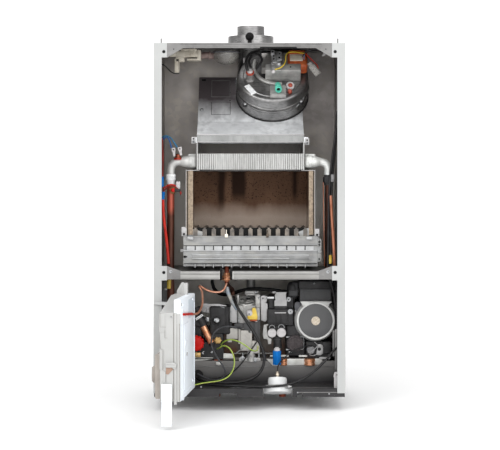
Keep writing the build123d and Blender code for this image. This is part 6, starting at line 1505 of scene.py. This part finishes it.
def addCase(s):
    y = s["railY"]
    faces, lines, ends = [], [], []
    for x0, x1 in (s["leftRun"], s["rightRun"]):
        faces += [block(x0, y - 0.7, s["groove"] + 0.7, x1, y + 0.4, s["railTop"], 0.3, 2),
            block(x0, y - 0.7, s["railLow"] + 1.6, x1, y + 0.4, s["groove"] - 0.8, 0.3, 2)]
        lines += [block(x0, y - 0.3, s["groove"] - 0.9, x1, y + 0.3, s["groove"] + 0.8, 0.1, 1),
            block(x0, y - 0.5, s["railLow"], x1, y + 0.3, s["railLow"] + 1.5, 0.2, 1)]
    for x in (s["leftRun"][1] - 0.6, s["rightRun"][0]):
        ends.append(block(x, y - 0.9, s["railLow"] + 1, x + 1.6, y + 6, s["railTop"] + 0.4, 0.3, 1))
    piece("railFaces", "railZinc", faces)
    piece("topRailFaces", "galvanisedShade", [block(-144, y - 0.6, 361.4, 151, y + 0.4, 364.6, 0.3, 1),
        block(-139, y - 0.5, 357, 151, y + 0.4, 360.6, 0.3, 1)])
    lines.append(block(-137, y - 0.3, 354.2, 148, y + 0.2, 355.4, 0.1, 1))
    piece("railFolds", "galvanisedShade", lines)
    piece("railCutEdges", "zincSatin", ends)
    # dark discs and strips of painted shade in the tab holes and the rail's notch
    notch = [block(21.9, y - 0.6, 353.6, 98.3, y + 0.2, 356.6, 0.2, 1)]
    notch += [boss("3.3 0, 3.3 0.5, 2.2 0.9, 0.3 0.9", 24, (x, y - 0.2, z)) for x, z in s["tabs"]]
    notch += [boss("1.2 0, 1.2 0.3", 16, (x, y - 0.5, z))
        for x, z in ((-158, 351.8), (159, 351.8), (-187.7, -234), (-162.6, -111.6), (165.2, -112.2))]
    piece("tabHoleShade", "shadowBlack", notch)
    piece("gussetEyelets", "zincPlate", [boss("3.4 0, 3.4 0.4, 2.4 0.6, 1.6 0.3", 24, (x, y - 0.3, z))
        for x, z in ((-164.4, -111.6), (163.4, -112.2))])
    piece("pipeGrommet", "rubberBlack", [block(-62.2, y - 2.4, -130, -57.2, -262, -105, 2, 3),
        block(-40.6, y - 2.4, -130, -35.6, -262, -105, 2, 3)])
    # flue test plug: a round black cap with a bead and its stub
    piece("flueTestPlug", "rubberBlack",
        [boss("4 -6, 6.2 -5, 6.2 0, 8.2 0.6, 9.1 3, 8.6 6, 6.4 8.4, 3 9.4, 0.4 9.6", 36, (0.3, -205, 387.2)),
        block(-3.8, -210, 372, 4.8, -202, 383, 2), tube(curved("-5.5 -213.6 391, 1 -215 388, 4.6 -214 384"),
        1, 8)])
    piece("cableTie", "whiteAcetal", blocks("156.6 -251 342.6 160.6 -247 352.4 1.2, "
        "153.6 -250 341.4 158.6 -247.6 345 0.9"))
    piece("fanConnector", "clearPolycarbonate",
        [placed(block(-13, -5, -7, 13, 5, 7, 1.8), (139, -228, 313.5), (0.62, 0, -0.78), (0.78, 0, 0.62)),
        placed(block(-20, -3.4, -4.6, -12, 3.4, 4.6, 1.4), (139, -228, 313.5), (0.62, 0, -0.78),
        (0.78, 0, 0.62))])
    piece("pipeMarkSleeves", "yellowNylon",
        [tube("171.7 -244 -80, 171.6 -243.6 -90, 171.5 -243 -98", 3.7, 24),
        tube("-171.2 -238 -133, -171.4 -238 -142, -171.6 -238 -151.6", 4.4, 24)])
    piece("wallCableClip", "absSilverGrey",
        blocks("172.6 -252 75 180 -244 91 1.4, 174 -252.8 78 178.6 -251 88 0.8"))
    piece("leadMarkSleeves", "blueNylon",
        [tube("-184.6 -239.6 86, -184.8 -239.6 75, -184.7 -239.8 64", 2.7, 20),
        tube("-182.6 -241.4 54, -183.6 -240.6 46, -184 -240 38", 3.5, 20)])
    piece("boardFrontEdges", "fibreCut", [block(x0, -250.7, -37, x1, -249.2, 100.4, 0.5)
        for x0, x1 in ((-130, -119.6), (125.6, 134.6))])
    piece("boardFrontJoints", "shadowBlack", [block(x0, -250.6, -38, x1, -249, 101, 0.2, 1)
        for x0, x1 in ((-132, -130.2), (134.8, 136.4))])
    piece("wallButton", "whiteAcetal",
        [lathe("2.4 0, 2.4 1.4, 1.6 2.2, 0.4 2.4", 20, (-178.4, -238, -153), (0.2, -1, 0))])
    # white catch at the right of the tray, and the fold of the side panel above it
    piece("trayCatch", "whiteAcetal", [facing("177 -358, 186.8 -358, 186.8 -322.6, 178.6 -322.6, 177 -325",
        1.6, -286), facing(oblong(176, -334, 180.4, -327, 1.6), 3, -287.4)])
    piece("trayCatchHole", "shadowBlack", [boss("1.6 0, 1.6 0.3", 16, (183.6, -286, -328.4))])
    piece("sideFold", "galvanisedShade",
        blocks("180.4 -258 -322 188.6 -254 -236 0.8, 176.6 -240 -296 181.4 -236 -240 1.2, "
        "184.4 -262 -322 186.2 -257 -150 0.6"))
    piece("trayScrews", "zincPlate", [screwHead((x, -297.6, z), (0, -1, 0), 1.8, 1)[0][0]
        for x, z in ((100.4, -363.9), (165.9, -366.6), (-101, -352))])
    piece("trayFoldLine", "galvanisedShade",
        blocks("-40 -284.4 -357 188 -283.4 -355.6 0.4, 99 -297.9 -364.4 188 -297.2 -362.6 0.3"))
    piece("cableBung", "rubberBlack", [boss("12.3 0, 12.3 9, 11.2 11, 8.6 11.6, 8 10, 0.4 10", 40,
        (-111.5, -207.2, -341))])


addCase(caseSettings)
print("case details added")

gaugeSettings = {"origin": (59, -261, -363), "up": (0, 0.2588, 0.9659), "ring": 28.5, "body": 19.6}


def addGauge(s):
    def upright(profile, sides=64):
        return lathe(profile, sides, s["origin"], s["up"])

    r = s["ring"]
    piece("gaugeBezel", "gaugeWhite", [upright([[r - 3, -7], [r - 0.6, -7], [r, -6.2], [r, 1.6],
        [r - 0.8, 2.4], [r - 3.4, 2.6], [r - 4, 1.6], [18, 1.4]]),
        upright([[s["body"], 6], [s["body"] + 0.4, 8], [s["body"] + 0.4, 21], [s["body"] - 1, 24.4],
        [s["body"] - 5, 25.2], [3.4, 25.4]]),
        upright([[s["body"] + 2, 3], [s["body"] + 2, 7.4], [s["body"] - 1, 8.4]])],
        replaces="pressure_gauge", angle=30)
    # the bezel's grey hollow is painted shade
    piece("gaugeDish", "gaugeGrey", [upright([[r - 3.8, 1.9], [s["body"] + 3, 4.6], [s["body"] + 1.6, 8.6],
        [s["body"] - 2, 8.8]])])
    piece("gaugeDial", "whiteAcetal", [upright([[r - 3.2, -3], [r - 3.2, -2.4], [1.9, -2.4], [1.9, -3]])])
    marks = []
    up = unit(s["up"])
    side = np.cross(up, (1, 0, 0))
    for i, angle in enumerate(np.radians(np.linspace(-130, 130, 27))):
        way = np.cos(angle) * side + np.sin(angle) * np.array((1, 0, 0))
        reach = 17.6 if i % 5 else 15.6
        at = np.asarray(s["origin"]) - 3.06 * up
        marks.append(tube([at + reach * way, at + 21 * way], 0.3 if i % 5 else 0.5, 6))
    piece("gaugeMarks", "shadowBlack", marks)
    piece("gaugeNipple", "nickelPlate", [upright("4.6 25, 4.6 27.4, 3.2 28, 3.2 36, 2.6 37.6, 1.4 38", 28),
        upright([[5.2, 29.6], [5.2, 33], [3, 33.4]][::-1], 6)], angle=25)


addGauge(gaugeSettings)

finSettings = {"count": 58, "first": -109.6, "last": 113.6, "low": 101, "high": 135, "front": -253.4,
    "wide": 3.1}


def addFinEdges(s):
    # folded front edge of every fin: a slim rounded block in front of each plate
    piece("finEdges", "finAluminium", [block(x - s["wide"] / 2, s["front"] - 0.5, s["low"],
        x + s["wide"] / 2, s["front"] + 1.2, s["high"], 0.4, 1)
        for x in np.linspace(s["first"], s["last"], s["count"])])


addFinEdges(finSettings)

looseHoses = {
    # name: finish, diameter, slot, length, stiffness, route, and the CAD node that it stands for if any
    "drainHoseLoop": ("rubberBlack", 7.6, "black_cable", 206.9, "medium",
        "-80 -150 -131, -82 -150 -140, -81 -151 -150, -76 -154 -162, -64 -158 -170, -48 -164 -172, "
        "-34 -173 -167, -20 -182 -161, -4 -190 -157, 14 -195 -155.6, 36 -200 -156, 60 -201 -159, "
        "84 -197 -163"),
    "clearSensingHose": ("clearHosePvc", 8.4, "grey_cable", 70.3, "medium",
        "-47.5 -232 -137, -48.4 -230 -148, -46 -225 -162, -40 -218 -176, -33.4 -213 -188, -27 -208 -198"),
    "thinSwitchLead": ("sheathBlack", 3, "black_cable", 169.4, "medium",
        "20 -212 -262, 14 -216 -270, 6 -223 -280, -4 -229 -295, -17 -232 -312, -32 -231 -328, "
        "-49 -227 -339.6, -71 -223 -345.6, -92 -220 -346, -108 -216 -342"),
    "mainsLeadA": ("sheathBlack", 6, "black_cable", 132.6, "medium",
        "172 -216 -131, 175 -216 -142, 179 -216 -157, 183 -215 -178, 186 -213 -204, 187 -211 -236, "
        "186 -210 -262"),
    "mainsLeadB": ("sheathBlack", 5.2, "black_cable", 131.5, "medium",
        "182 -203 -131, 184.4 -202 -146, 186.6 -202 -168, 187.6 -202 -196, 187.4 -203 -230, 184 -205 -262"),
}
layCords(looseHoses)
print("hoses laid")


# studio: a pale seamless sweep and soft light

studioSettings = {"floorDrop": -402, "backY": 6500, "sweep": 1500, "half": 7000, "frontY": -5200,
    "paper": "#f4f4f4"}


def addSweep(s):
    # floor, quarter circle and wall in one profile carried sideways
    a = np.linspace(0, np.pi / 2, 24)
    curve = np.stack([s["backY"] - s["sweep"] + s["sweep"] * np.sin(a), s["floorDrop"] + s["sweep"]
        * (1 - np.cos(a))])
    profile = np.vstack([[s["frontY"], s["floorDrop"]], curve.T, [s["backY"], 5000]])
    left = np.column_stack([np.full(len(profile), -s["half"]), profile])
    points = np.stack([left, left * (-1, 1, 1)], 1).reshape(-1, 3)
    mesh = bpy.data.meshes.new("studioSweep")
    mesh.from_pydata(points / 1000, [], gridFaces(len(profile), 2, ring=False))
    mesh.shade_smooth()
    mesh.materials.append(makeFinish("studioPaper", look(s["paper"], "#f1f1f1", 900, 0.9)))
    obj = bpy.data.objects.new("studioSweep", mesh)
    bpy.context.collection.objects.link(obj)


lightSettings = {
    # name: place in metres, aim, width, power in watts
    "keyLeft": ((-1.9, -3, 1.9), (0, -0.2, 0), 1.8, 49),
    "fillRight": ((2.2, -3, 1), (0, -0.2, 0), 2.2, 35),
    "frontWide": ((0, -4.2, 0.6), (0, -0.2, -0.05), 3, 50),
    "topSoft": ((0, -0.9, 2.6), (0, -0.1, 0), 2, 26),
    "backdropWash": ((0, 3, 3.4), (0, 6.4, 0.4), 3, 170),
}


def addLight(name, place, aim, width, power):
    data = bpy.data.lights.new(name, "AREA")
    data.size, data.energy = width, power
    obj = bpy.data.objects.new(name, data)
    obj.location = place
    obj.rotation_euler = (Vector(aim) - Vector(place)).to_track_quat("-Z", "Y").to_euler()
    bpy.context.collection.objects.link(obj)


addSweep(studioSettings)
for name, (place, aim, width, power) in lightSettings.items():
    addLight(name, place, aim, width, power)
world = bpy.data.worlds.new("studioWorld")
world.use_nodes = True
world.node_tree.nodes["Background"].inputs[0].default_value = (1, 1, 1, 1)
world.node_tree.nodes["Background"].inputs[1].default_value = 0.75
bpy.context.scene.world = world
bpy.context.scene.view_settings.view_transform = "Standard"
print("studio set,", pieceCount, "new pieces")
